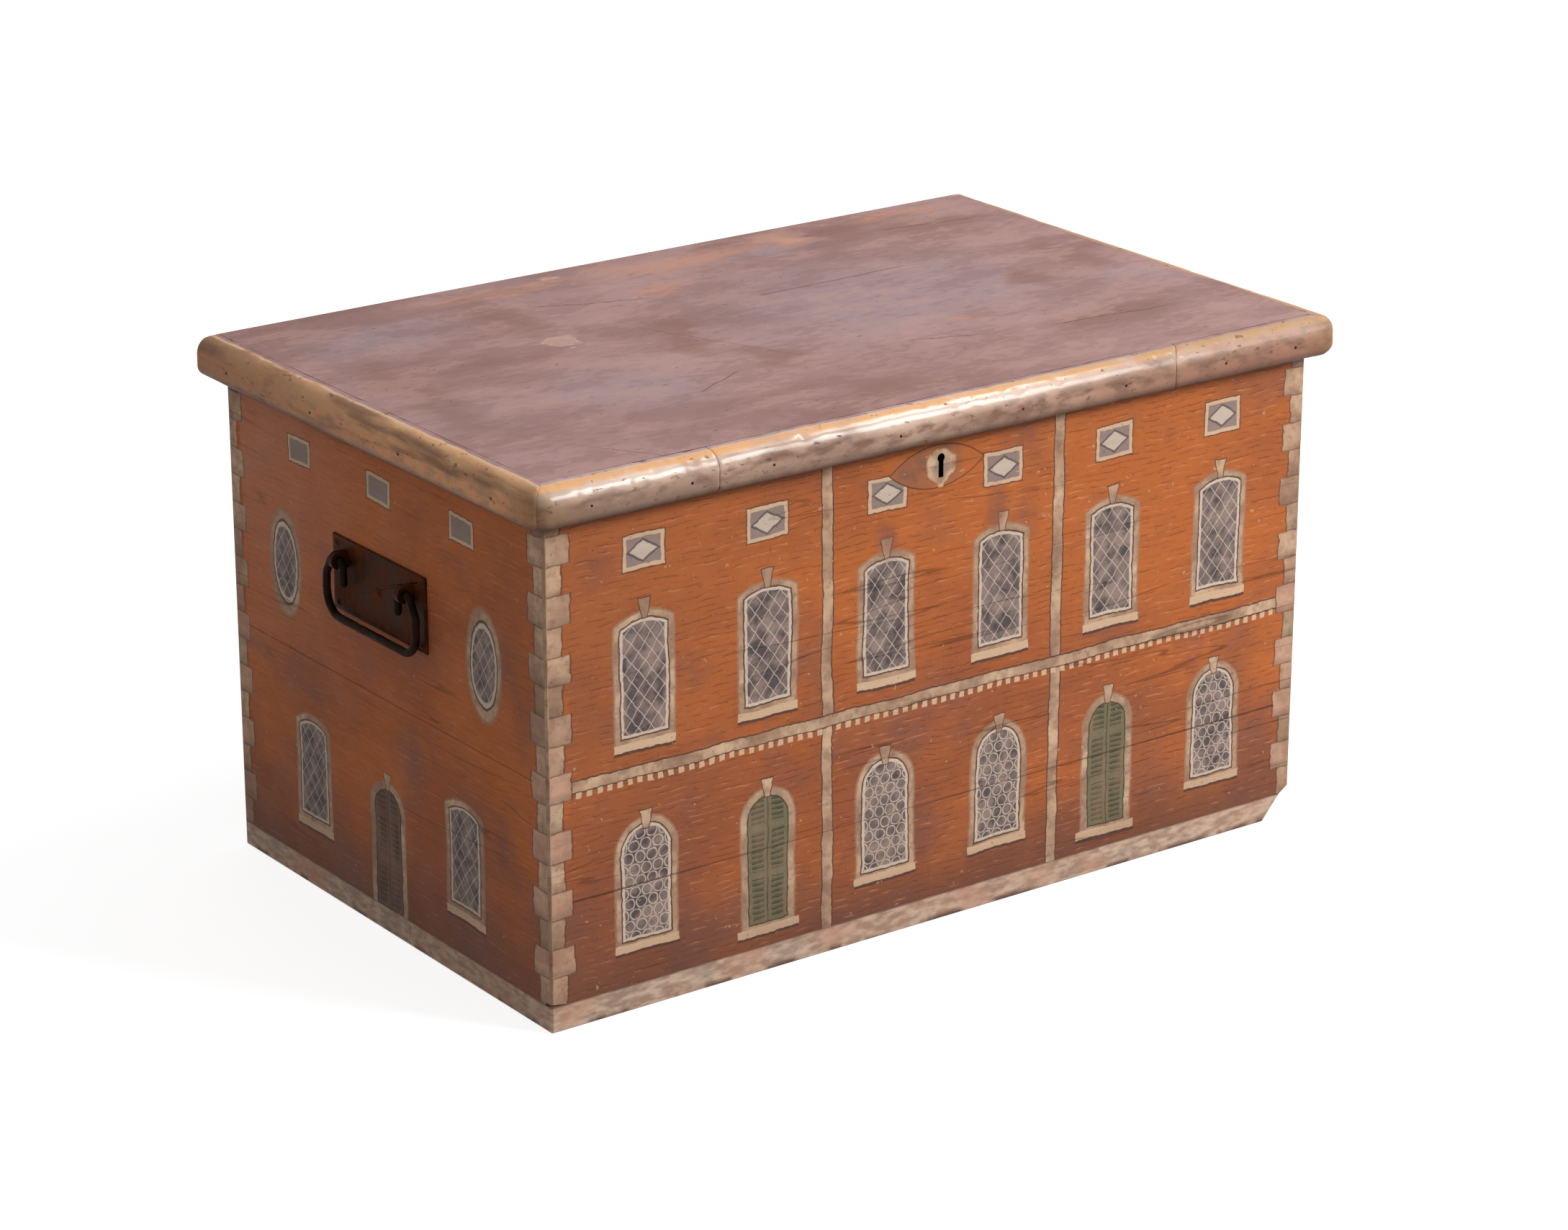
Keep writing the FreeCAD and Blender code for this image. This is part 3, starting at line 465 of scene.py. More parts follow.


# %% [markdown]
# Age is one last layer on every painted wall: specks where paint has chipped, a few long cracks
# along the grain, dirt at the foot, a painted shadow under the lid, and bare wood on the arrises,
# where hands and floors rub first. Stains have places of their own, so each is a soft ellipse.


# %% Age and wear
def aged(recipe, colour, up):
    """Specks and chips, cracks stretched along the grain, dirt that grows to the foot, and painted shadow under
    the lid's edge.
    """
    speck = recipe.noise(330, 2, seed=21).ramp(0.66, 0.74)
    colour = recipe.mix(speck * 0.5, colour, GRIME_AND_SHADE)
    chip = recipe.noise(170, 3, seed=22).ramp(0.71, 0.74)
    colour = recipe.mix(chip * 0.5, colour, STONE)
    fibre = recipe.noise(80, 4, (0.15, 0.15, 1.6), 24)
    colour = recipe.shade(colour, fibre * 0.3 + 0.85)
    where = recipe.noise(5, 2, seed=27).ramp(0.46, 0.58)
    split = abs(recipe.noise(9, 3, (0.12, 0.12, 2.2), 2) - 0.5).ramp(0.006, 0.002)
    crack = 1 - split * where
    colour = recipe.shade(colour, crack * 0.4 + 0.6)
    foot = up.ramp(FOOT_TOP + 60 * MM, FOOT_TOP - 20 * MM)
    cloud = recipe.noise(7, 3, seed=23).ramp(0.35, 0.7)
    colour = recipe.mix(foot * cloud * 0.5, colour, GRIME_AND_SHADE)
    # Painted shadow: a dark band on the wall just under the lid's edge.
    shadow_under_lid = up.ramp(EDGE_FOOT - 12 * MM, EDGE_FOOT - 1 * MM) * up.ramp(EDGE_FOOT + 7 * MM, EDGE_FOOT)
    return recipe.mix(shadow_under_lid * 0.85, colour, paint(46, 32, 28)), crack


def soft_ellipses(recipe, across, up, places):
    """The highest share among ellipses: each is 1 in its middle and falls to 0 past its edge."""
    share = 0.0
    for x, y, half_x, half_y in places:
        distance = recipe.length((across - x) / half_x, (up - y) / half_y)
        share = distance.ramp(1.4, 0.5).above(share)
    return share


def arris(recipe, bare):
    """The chamfer between two painted faces: stone paint, worn through to the wood in places."""
    depth = HALF_WIDTH + HALF_DEPTH - abs(recipe.x) - abs(recipe.y)
    worn = recipe.noise(120, 3, (1, 1, 0.5), 25).ramp(0.5, 0.62)
    return depth < 2.4 * MM, recipe.shade(recipe.mix(worn * 0.6, stone(recipe, 47), bare), 0.8)


# %% [markdown]
# The front has six bays. Below are arched windows, with green shutters in the second and the
# fifth. A moulded band runs half way up, with tall leaded windows above it, and small square
# panels under the lid. Two plain pilasters part the bays into twos.

# %% The front's bays
BAY = 122 * MM
BAND = 210 * MM


def ground_bays(recipe, colour, across, up, is_shut):
    """Arched openings on a ledge under a keystone, glazed or shuttered."""
    edge = arch(recipe, across, up, 25 * MM, 62 * MM, 138 * MM)
    open_bay = glazed(recipe, colour, edge, roundels(recipe, across, up - 60 * MM, 11.5 * MM))
    shut = arch(recipe, across, up, 21 * MM, 44 * MM, 138 * MM)
    shut_bay = shuttered(recipe, colour, shut, across, up - 44 * MM, SHUTTER_GREEN, SHUTTER_GREEN_DARK)
    colour = recipe.mix(is_shut, open_bay, shut_bay)
    colour = ledge(recipe, colour, across, up - 60 * MM + is_shut * (18 * MM), 32 * MM)
    return keystone(recipe, colour, across, up - 166 * MM)


def upper_bays(recipe, colour, across, up):
    """Tall flat headed windows with lozenges, and a square panel with a lozenge over each."""
    edge = flat_arch(recipe, across, up, 24 * MM, 240 * MM, 334 * MM, 7 * MM)
    colour = glazed(recipe, colour, edge, lozenges(across, up, 16 * MM))
    colour = ledge(recipe, colour, across, up - 236 * MM, 31 * MM)
    colour = keystone(recipe, colour, across, up - 349 * MM)
    square = panel(across, up - 397 * MM, 20 * MM, 15 * MM)
    lozenge = (abs(across) * 0.62 + abs(up - 397 * MM)) * 0.85 - 9 * MM
    colour = recipe.mix((square - 1 * MM).inside(1 * MM), colour, STONE_LINE)
    colour = recipe.mix(square.inside(), colour, STONE)
    colour = recipe.mix((square + 3.4 * MM).inside(), colour, GLASS_PALE)
    colour = recipe.mix(lozenge.inside() * 0.8, colour, GLASS_DARK)
    return recipe.mix((lozenge + 1.8 * MM).inside(0.8 * MM) * 0.9, colour, GLAZING_BAR)


# %% The front as a whole
def front_design(recipe, along, up):
    """Brick darkened to the left by painted shade, pilasters and band, then the bays, each laid over the last."""
    colour = brickwork(recipe, along, up)
    # Painted shade: the front darkens towards its left end.
    colour = recipe.mix(along.ramp(-150 * MM, -320 * MM) * 0.25, colour, BRICK_SHADE)
    pilaster = abs(abs(along) - BAY) - 5 * MM
    colour = recipe.mix((pilaster - 1.2 * MM).inside(1 * MM), colour, STONE_LINE)
    colour = recipe.mix(pilaster.inside(), colour, stone(recipe, 49))
    reach = abs(along) - (HALF_WIDTH - BLOCK_SHORT)
    dentil = (abs(up - (BAND - 8 * MM)) - 2.6 * MM).above(along.wave(10 * MM) - 2.6 * MM)
    band = abs(up - BAND) - 4.5 * MM
    colour = recipe.mix((band - 1.3 * MM).above(reach).inside(1 * MM), colour, STONE_LINE)
    colour = recipe.mix(dentil.above(reach).inside(), colour, STONE)
    colour = recipe.mix(band.above(reach).inside(), colour, stone(recipe, 51))
    across = along % BAY - BAY / 2
    number = recipe.math("FLOOR", abs(along) / BAY)
    is_shut = abs(number - 1) < 0.5
    within = abs(along) < 3 * BAY
    low = ground_bays(recipe, colour, across, up, is_shut)
    colour = recipe.mix(within * (up < BAND - 11 * MM), colour, low)
    high = upper_bays(recipe, colour, across, up)
    return recipe.mix(within * (up > BAND + 6 * MM), colour, high)


# %% Paint for the front boards
KEYHOLE = Vector((-5 * MM, 0, 411.2 * MM))
# Painted shade: the black inside the keyhole.
HOLE_SHADE = paint(16, 12, 10)
BOARD_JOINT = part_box("front_upper_board")[0].z
FRONT_STAINS = ((0.055, 0.36, 0.012, 0.02), (-0.061, 0.356, 0.01, 0.018))


def front_boards():
    """The front's design, corner stones on the end grain, and pine inside."""
    recipe = Recipe("painted_front")
    bare, grain = bare_pine(recipe, (0.12, 1, 1))
    along, up = hand_drawn(recipe, recipe.x, recipe.z)
    front = corner_stones(recipe, front_design(recipe, along, up), along, up, HALF_WIDTH)
    beside = hand_drawn(recipe, recipe.y, recipe.z)[0]
    side = corner_stones(recipe, brickwork(recipe, beside, up), beside, up, HALF_DEPTH)
    on_arris, chamfer = arris(recipe, bare)
    painted = recipe.mix(recipe.y < -HALF_DEPTH + 0.4 * MM, side, front)
    smudge = (recipe.noise(45, 3, seed=28) - 0.5) * (30 * MM)
    stains = soft_ellipses(recipe, recipe.x + smudge, recipe.z + smudge, FRONT_STAINS)
    painted = recipe.mix(stains * 0.6, painted, BRICK_MAUVE)
    painted, crack = aged(recipe, recipe.mix(on_arris, painted, chamfer), recipe.z)
    seam = (abs(recipe.z - BOARD_JOINT) - 0.8 * MM).inside(1.4 * MM)
    painted = recipe.mix(seam * recipe.noise(7, 2, seed=26).ramp(0.4, 0.55) * 0.7, painted, GRIME_AND_SHADE)
    outside = (recipe.y < -HALF_DEPTH + 2 * MM).above(abs(recipe.x) > HALF_WIDTH - 2 * MM)
    colour = recipe.mix(outside, bare, painted)
    from_keyhole = recipe.length(recipe.x - KEYHOLE.x, recipe.z - KEYHOLE.z)
    # Painted shade: inside the board, round the keyhole, the wood is black.
    colour = recipe.mix((1 - outside) * (from_keyhole < 16 * MM), colour, HOLE_SHADE)
    height = crack * 0.3 + recipe.noise(30, 3, (0.2, 1, 5), 31) * 0.6
    return recipe.finish(colour, recipe.noise(20, 2, seed=33) * 0.25 + 0.42, height, **MATT)


# %% [markdown]
# The ends have a shuttered arch in the middle between two leaded windows, two ovals beside the
# handle, and three small panels under the lid.


# %% Paint for the end boards
def thin_wash(recipe, bare, grain):
    """A brick coloured wash that lets the grain through and has worn thin in places."""
    wash = recipe.mix(recipe.noise(8, 3, (1, 1, 2), 53).ramp(0.3, 0.7), BRICK_DEEP, BRICK_MAUVE)
    wash = recipe.shade(wash, grain * 0.35 + 0.7)
    thin = recipe.noise(25, 4, (0.3, 1, 2), 54).ramp(0.6, 0.8)
    return recipe.mix(thin * 0.5, wash, bare)


def end_design(recipe, along, up):
    """Brick, arch, windows, ovals and panels. Distances beside the middle serve both halves."""
    colour = brickwork(recipe, along, up, 0.6)
    # The end is paler towards its top and its back.
    bloom = up.ramp(160 * MM, 400 * MM) * along.ramp(0.0, 180 * MM)
    colour = recipe.mix(bloom * 0.15, colour, paint(212, 179, 172))
    side = abs(along)
    shut = arch(recipe, along, up, 21 * MM, FOOT_TOP, 112 * MM)
    colour = shuttered(recipe, colour, shut, along, up - FOOT_TOP, SHUTTER_BROWN, SHUTTER_BROWN_DARK)
    colour = keystone(recipe, colour, along, up - 140 * MM)
    beside = side - 122 * MM
    edge = flat_arch(recipe, beside, up, 23 * MM, 66 * MM, 150 * MM, 7 * MM)
    round_edge = oval(recipe, side - 158 * MM, up - 292 * MM, 21 * MM, 38 * MM)
    is_high = up > BAND
    edge = edge * (1 - is_high) + round_edge * is_high
    colour = glazed(recipe, colour, edge, lozenges(beside - is_high * (36 * MM), up, 16 * MM))
    colour = ledge(recipe, colour, beside, up - 62 * MM, 30 * MM)
    square = panel(abs(side - 64 * MM) - 64 * MM, up - 400 * MM, 18 * MM, 12 * MM)
    colour = recipe.mix((square - 1 * MM).inside(1 * MM), colour, STONE_LINE)
    colour = recipe.mix(square.inside(), colour, STONE)
    return recipe.mix((square + 3 * MM).inside(), colour, GLASS_PALE)


def end_boards():
    """The end's design, corner stones on the pins' end grain, and pine inside."""
    recipe = Recipe("painted_end")
    bare, grain = bare_pine(recipe, (1, 0.12, 1))
    along, up = hand_drawn(recipe, recipe.y, recipe.z)
    end = corner_stones(recipe, end_design(recipe, along, up), along, up, HALF_DEPTH)
    beside = hand_drawn(recipe, recipe.x, recipe.z)[0]
    side = corner_stones(recipe, brickwork(recipe, beside, up), beside, up, HALF_WIDTH)
    side = recipe.mix(recipe.y > 0.0, side, thin_wash(recipe, bare, grain))
    on_arris, chamfer = arris(recipe, bare)
    painted = recipe.mix(abs(recipe.x) > HALF_WIDTH - 0.4 * MM, side, end)
    painted, crack = aged(recipe, recipe.mix(on_arris, painted, chamfer), recipe.z)
    outside = (abs(recipe.y) > HALF_DEPTH - 2 * MM).above(abs(recipe.x) > HALF_WIDTH - 2 * MM)
    colour = recipe.mix(outside, bare, painted)
    height = crack * 0.3 + recipe.noise(30, 3, (1, 0.2, 5), 32) * 0.6
    return recipe.finish(colour, recipe.noise(20, 2, seed=34) * 0.25 + 0.42, height, **MATT)


# %% Paint for the back boards
def back_boards():
    """A thin brick wash on the back, with the wood showing through, and painted end grain."""
    recipe = Recipe("washed_back")
    bare, grain = bare_pine(recipe, (0.12, 1, 1))
    wash = thin_wash(recipe, bare, grain)
    along, up = hand_drawn(recipe, recipe.y, recipe.z)
    side = corner_stones(recipe, brickwork(recipe, along, up), along, up, HALF_DEPTH)
    on_arris, chamfer = arris(recipe, bare)
    painted = recipe.mix(abs(recipe.x) > HALF_WIDTH - 0.4 * MM, wash, side)
    painted, crack = aged(recipe, recipe.mix(on_arris, painted, chamfer), recipe.z)
    outside = (recipe.y > HALF_DEPTH - 2 * MM).above(abs(recipe.x) > HALF_WIDTH - 2 * MM)
    colour = recipe.mix(outside, bare, painted)
    return recipe.finish(colour, 0.62, grain * 0.5 + crack * 0.3, **MATT)


# %% [markdown]
# The bottom boards show only their edges, painted as a stone band that the floor has rubbed.
# Where the front right corner was knocked off, the wood is bare and dirty.


# %% Paint for the foot boards
def foot_boards():
    """A mottled stone band with dark dashes along its lower edge, over bare pine."""
    recipe = Recipe("painted_foot")
    bare, grain = bare_pine(recipe, (0.12, 1, 1))
    mottle = recipe.noise(150, 5, (0.5, 0.5, 1.3), 55)
    band = recipe.mix(mottle.ramp(0.38, 0.62), paint(158, 129, 111), paint(198, 171, 150))
    rosy = recipe.noise(16, 4, seed=56)
    band = recipe.mix(rosy.ramp(0.5, 0.64) * 0.6, band, paint(186, 136, 112))
    band = recipe.mix(rosy.ramp(0.46, 0.34) * 0.5, band, paint(142, 130, 118))
    dash = recipe.noise(60, 2, (0.5, 0.5, 0.05), 57).ramp(0.5, 0.6)
    band = recipe.mix(dash * recipe.z.ramp(6 * MM, 2 * MM) * 0.8, band, GRIME_AND_SHADE)
    band = recipe.mix(recipe.z.ramp(FOOT_TOP - 1.6 * MM, FOOT_TOP - 0.4 * MM) * 0.6, band, GRIME_AND_SHADE)
    outside = (abs(recipe.x) > HALF_WIDTH - 2 * MM).above(abs(recipe.y) > HALF_DEPTH - 2 * MM)
    colour = recipe.mix(outside, bare, band)
    return recipe.finish(colour, mottle * 0.2 + 0.5, grain * 0.6 + mottle * 0.4, **MATT)


# %% [markdown]
# The keyhole sits in a pointed oval patch, let in where an older lock was cut out. It is washed
# brown with a dark line at its edge, and round the hole it has a stone coloured surround, rubbed
# grey by keys. The walls of the hole are painted black as shade.


# %% Paint for the keyhole patch
def patch_paint():
    """A brown wash, a surround with eight ragged sides that comes to a point, and grey rubs.
    The patch's edge is two arcs of radius (half^2 + rise^2) / (2 rise)."""
    recipe = Recipe("painted_patch")
    ragged = recipe.add("ShaderNodeSeparateXYZ", {}, {0: recipe.noise(130, 2, seed=61, out=1)})
    across = recipe.x - KEYHOLE.x + (ragged.out(0) - 0.5) * (7 * MM)
    up = recipe.z - KEYHOLE.z + (ragged.out(2) - 0.5) * (7 * MM)
    wash = recipe.mix(recipe.noise(40, 3, seed=63).ramp(0.35, 0.65), paint(168, 104, 64), paint(136, 90, 70))
    wash = recipe.mix(across.ramp(16 * MM, 26 * MM), wash, BRICK_BRIGHT)
    low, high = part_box("keyhole_patch")
    half, rise = (high.x - low.x) / 2, (high.z - low.z) / 2
    radius = (half**2 + rise**2) / (2 * rise)
    off_middle = abs(recipe.z - (low.z + high.z) / 2) + (radius - rise)
    edge = recipe.length(recipe.x - (low.x + high.x) / 2, off_middle) - radius
    wash = recipe.mix((edge + 0.5 * MM).ramp(-0.8 * MM, 0.0) * 0.7, wash, GRIME_AND_SHADE)
    eight = ((abs(across) + abs(up)) * 0.72).above(abs(across)).above(abs(up)) - 14.5 * MM
    point = (abs(across) - (up + 23 * MM) * 0.6).above(up)
    surround = recipe.mix(recipe.noise(80, 3, seed=64).ramp(0.4, 0.65), STONE, STONE_SHADE)
    colour = recipe.mix(eight.below(point).inside(2 * MM), wash, surround)
    near = recipe.length(across, up * 0.6) - 7 * MM
    colour = recipe.mix(near.inside(5 * MM) * 0.6, colour, PINE_GREY)
    colour, crack = aged(recipe, colour, recipe.z)
    # Painted shade: the walls of the hole through the patch are black.
    colour = recipe.mix(recipe.y > -HALF_DEPTH + 0.6 * MM, colour, HOLE_SHADE)
    return recipe.finish(colour, 0.5, recipe.noise(30, 3, (0.2, 1, 5), 65) + crack * 0.3, **MATT)


# %% [markdown]
# The lid is a worn plum brown. It has violet grey pools where things stood on it, and right of
# the middle a large pale violet pool that is a painted reflection. Painted shade darkens its front
# right. It has brown bands and rust coloured rubs by the back edge, a pale scuff, and scratches.
# Wear is never spread evenly, so each mark is a soft ellipse or a line with a place of its own, on
# a place that noise shifts. Over them all goes the mottle of a dry brush: blots a few centimetres
# long, and finer ones.

# %% Marks on the lid
LID_PLUM = paint(166, 129, 125)
LID_DEEP = paint(144, 106, 101)
LID_STREAK = paint(126, 89, 80)
LID_ROSE = paint(182, 141, 131)
LID_MARKS = {
    # Violet grey pools. The large first one is a painted reflection.
    "violet pools and painted reflection": (paint(156, 131, 133), 0.75, [
        (0.12, 0.02, 0.15, 0.11), (0.225, 0.0, 0.06, 0.06), (-0.21, -0.08, 0.05, 0.07),
        (0.37, -0.06, 0.03, 0.05), (0.13, 0.195, 0.04, 0.02), (-0.30, 0.16, 0.07, 0.04),
    ]),
    # Painted shade: the lid's front right is darker.
    "painted shade at front right": (paint(142, 112, 110), 0.55, [(0.3, -0.12, 0.08, 0.09)]),
    "brown bands": (paint(132, 92, 80), 0.6, [
        (-0.27, 0.246, 0.13, 0.008), (0.09, 0.243, 0.03, 0.01), (0.22, 0.22, 0.03, 0.02),
        (-0.172, 0.16, 0.022, 0.07), (-0.078, 0.01, 0.02, 0.07), (-0.05, -0.07, 0.02, 0.04),
        (0.285, -0.01, 0.018, 0.03), (0.36, 0.03, 0.03, 0.05), (0.25, -0.145, 0.08, 0.02),
        (0.32, 0.185, 0.06, 0.022), (0.0, -0.21, 0.09, 0.016), (-0.36, 0.0, 0.02, 0.10),
    ]),
    "rust rubs": (paint(190, 134, 112), 0.7, [
        (0.05, 0.215, 0.08, 0.02), (0.16, 0.23, 0.03, 0.014), (-0.14, 0.222, 0.08, 0.01),
        (0.0, 0.15, 0.03, 0.02), (0.30, 0.236, 0.05, 0.012), (0.15, -0.086, 0.03, 0.006),
    ]),
    "bright rub": (paint(216, 150, 112), 0.6, [(0.176, 0.217, 0.016, 0.012)]),
}


LID_SCRATCHES = (
    (0.127, 0.082, 0.08, 0.0), (-0.129, -0.111, 0.03, 0.5), (0.1, -0.12, 0.03, -0.3),
    (-0.296, -0.233, 0.02, -1.5), (0.32, 0.186, 0.05, -0.16), (0.26, -0.15, 0.06, -0.1),
    (-0.075, 0.01, 0.022, -2.4), (-0.043, -0.063, 0.008, -2.3), (-0.09, 0.15, 0.05, -0.4),
)


def scratch(recipe, across, back, x, y, reach, slope):
    """A thin straight mark through (x, y), that fades at both ends."""
    along = across - x
    line = abs(back - y - along * slope) - 1 * MM
    return line.inside(1.4 * MM) * (abs(along) - reach).inside(14 * MM)


# %% Paint for the lid
def lid_top(recipe):
    """The lid's paint seen from above, in layers, and a height for its wear."""
    cloud = recipe.noise(6, 4, (0.7, 1.3, 1), 72)
    colour = recipe.mix(cloud.ramp(0.38, 0.6), LID_DEEP, LID_PLUM)
    shift = recipe.add("ShaderNodeSeparateXYZ", {}, {0: recipe.noise(16, 7, (0.6, 1.2, 1), 71, 1)})
    across = recipe.x + (shift.out(0) - 0.5) * 0.13
    back = recipe.y + (shift.out(1) - 0.5) * 0.08
    for tone, strength, places in LID_MARKS.values():
        share = soft_ellipses(recipe, across, back, places) * strength
        colour = recipe.mix(share, colour, tone)
    fine = recipe.noise(190, 5, (0.35, 0.8, 1), 74)
    blot = recipe.noise(26, 8, (0.5, 1.1, 1), 73) + (fine - 0.5) * 0.5
    colour = recipe.mix(blot.ramp(0.52, 0.6) * 0.35, colour, LID_STREAK)
    colour = recipe.mix(blot.ramp(0.46, 0.38) * 0.4, colour, LID_ROSE)
    across = recipe.x + (blot - 0.5) * (14 * MM)
    back = recipe.y + (shift.out(2) - 0.5) * (14 * MM) + (fine - 0.5) * (6 * MM)
    chip = oval(recipe, across + 75 * MM, back - 238 * MM, 6 * MM, 4 * MM)
    scuff = oval(recipe, across + 177 * MM, back - 60 * MM, 14 * MM, 12 * MM).below(chip)
    scuff = scuff + (blot - 0.5) * (60 * MM)
    colour = recipe.mix(scuff.inside(6 * MM) * 0.5, colour, paint(200, 162, 146))
    colour = recipe.mix((abs(scuff) - 1 * MM).inside(3 * MM) * 0.5, colour, paint(222, 194, 174))
    dark = 0.0
    for place in LID_SCRATCHES:
        dark = scratch(recipe, across, back, *place).above(dark)
    nick = recipe.noise(210, 2, (0.5, 1, 1), 76).ramp(0.7, 0.74)
    colour = recipe.mix((dark * 0.7).above(nick * 0.5), colour, paint(90, 60, 50))
    return colour, blot * 0.5 - dark * 0.6


def lid_paint():
    """Plum paint on top of the lid, a brown wash on its back edge, and bare pine below."""
    recipe = Recipe("painted_lid")
    top, height = lid_top(recipe)
    bare, grain = bare_pine(recipe, (0.12, 1, 1))
    colour = recipe.mix(recipe.y > LID_REAR - 0.4 * MM, bare, LID_STREAK)
    colour = recipe.mix(recipe.z > LID_TOP - 2.4 * MM, colour, top)
    return recipe.finish(colour, recipe.noise(6, 3, seed=75) * 0.2 + 0.42, height, Specular_IOR_Level=0.16)


# %% [markdown]
# The round moulding was cream, and is rubbed the most. Its upper turn keeps the cream and the
# gloss, with a gold coloured ground at the rim. Its nose is worn to a tan, greyer on the left
# length and broken up into brown towards the right, and dirt sits in the dents and at the corner.
# Painted shade darkens its lower part, which faces down, and most of all its foot. The plum of
# the lid laps over its inner edge. On the ends the ground is a golden brown that dulls towards
# the back, with dark streaks of wood in it, and a thin cream line at the rim.

# %% Tones of the moulding
# In each set, low is painted shade for the moulding's lower part, which faces down.
FRONT_TONES = {
    "face": paint(188, 154, 134), "worn": paint(128, 97, 82), "streak": paint(112, 82, 66),
    "low": paint(136, 110, 95), "turn": paint(216, 190, 172), "rim": paint(222, 164, 110),
}
END_TONES = {
    "face": paint(232, 160, 110), "worn": paint(180, 128, 94), "streak": paint(104, 70, 54),
    "low": paint(172, 138, 118), "turn": paint(222, 168, 122), "rim": paint(216, 172, 138),
}
RIGHT_RIM = paint(184, 144, 104)
RIGHT_FACE = paint(170, 127, 105)
# Painted shade for the lower part of the right length.
RIGHT_LOW = paint(136, 94, 80)


# %% Paint for the moulding
def moulding_paint(name, tones, low_height, rim_width, streaks, gloss):
    """From low to high: painted shade, a mottled face, paint on the turn, the rim, then the lid's plum."""
    recipe = Recipe(name)
    mottle = recipe.noise(110, 6, (0.4, 0.4, 0.9), 81)
    rubbed = recipe.noise(34, 6, (0.35, 0.35, 1), 83)
    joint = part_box("lid_front_moulding_left")[1].x
    leftward = recipe.x.ramp(joint + 3 * MM, joint - 3 * MM)
    rightward = recipe.x.ramp(0.0, 280 * MM)
    face = recipe.mix(rightward, tones["face"], RIGHT_FACE)
    colour = recipe.mix(mottle.ramp(0.4, 0.56) * (1 - rightward * 0.2), tones["worn"], face)
    nose = recipe.z + (rubbed - 0.5) * (20 * MM)
    # Painted shade: the lower part, which faces down, takes the low tone. The left length takes some of it too,
    # as greyer paint.
    lower = nose.ramp(EDGE_FOOT + low_height, EDGE_FOOT + low_height - 12 * MM)
    colour = recipe.mix(lower * 0.7 + leftward * 0.25, colour, recipe.mix(rightward, tones["low"], RIGHT_LOW))
    turn = recipe.z.ramp(LID_TOP - 16 * MM, LID_TOP - 6 * MM)
    kept = turn * rubbed.ramp(0.34, 0.52) * (1 - rightward * 0.7)
    colour = recipe.mix(kept, colour, tones["turn"])
    streak = recipe.noise(36, 5, (0.16, 0.16, 1.5), 82)
    colour = recipe.mix(streak.ramp(0.5, 0.6) * streaks, colour, tones["streak"])
    colour = recipe.mix(recipe.y.ramp(-60 * MM, 240 * MM) * 0.6, colour, paint(142, 101, 74))
    from_corner = recipe.length(LID_HALF_WIDTH - abs(recipe.x), recipe.y - LID_FRONT)
    colour = recipe.mix((from_corner + nose * 0.5).ramp(0.28, 0.24) * 0.6, colour, paint(132, 100, 66))
    inset = (LID_HALF_WIDTH - abs(recipe.x)).below(recipe.y - LID_FRONT)
    border = rubbed * (10 * MM) + mottle * (4 * MM) + 9 * MM
    over = recipe.z.ramp(LID_TOP - 5 * MM, LID_TOP - 2.5 * MM)
    rim = (border - rim_width - inset).inside(2 * MM) * over
    rim_tone = recipe.mix(rightward, tones["rim"], RIGHT_RIM)
    colour = recipe.mix(rim * mottle.ramp(0.7, 0.48), colour, rim_tone)
    level = recipe.z.ramp(LID_TOP - 1.5 * MM, LID_TOP - 0.5 * MM)
    colour = recipe.mix((border - inset).inside(1 * MM) * level, colour, lid_top(recipe)[0])
    nick = recipe.noise(240, 3, (0.5, 0.5, 1.1), 85).ramp(0.64, 0.7)
    colour = recipe.mix(nick * 0.6, colour, paint(92, 64, 50))
    # Painted shade: darker along the foot of the moulding.
    low = recipe.z.ramp(EDGE_FOOT + 9 * MM, EDGE_FOOT + 2 * MM)
    colour = recipe.mix(low * 0.8, colour, GRIME_AND_SHADE)
    roughness = mottle * 0.3 + 0.4
    height = mottle * 0.07 - nick * 0.5
    coat = turn * (1 - nick) * (1 - rightward * 0.8) * (rubbed.ramp(0.36, 0.48) * 0.7 + 0.3)
    shine = {"Coat_Weight": coat * gloss, "Coat_Roughness": 0.19}
    return recipe.finish(colour, roughness, height, 0.4 * MM, Specular_IOR_Level=0.15, **shine)


# %% [markdown]
# Forged iron is nearly black, with a brown bloom where it has rusted and been oiled, and it
# shines a little where it is handled.


# %% Forged iron
def forged_iron(name, dark, brown):
    """Two browns in clouds, darkened by scale, with a fine roughness."""
    recipe = Recipe(name)
    bloom = recipe.noise(60, 4, seed=91).ramp(0.42, 0.66)
    colour = recipe.mix(bloom, dark, brown)
    scale = recipe.noise(260, 3, seed=92)
    colour = recipe.shade(colour, scale * 0.5 + 0.72)
    oiled = {"Metallic": 0.1, "Specular_IOR_Level": 0.06, "Specular_Tint": paint(255, 214, 188)}
    return recipe.finish(colour, bloom * 0.2 + 0.5, scale, 0.25 * MM, **oiled)


# %% Give every board and fitting its finish
FINISHES = {
    "front": front_boards(),
    "end": end_boards(),
    "back": back_boards(),
    "foot": foot_boards(),
    "patch": patch_paint(),
    "lid": lid_paint(),
    "front_moulding": moulding_paint("painted_front_moulding", FRONT_TONES, 22 * MM, 11 * MM, 0.3, 0.8),
    "end_moulding": moulding_paint("painted_end_moulding", END_TONES, 13 * MM, 3.5 * MM, 0.7, 0.1),
    "iron": forged_iron("forged_iron", paint(50, 27, 16), paint(84, 45, 24)),
    "bail": forged_iron("handled_iron", paint(26, 20, 18), paint(46, 32, 26)),
}


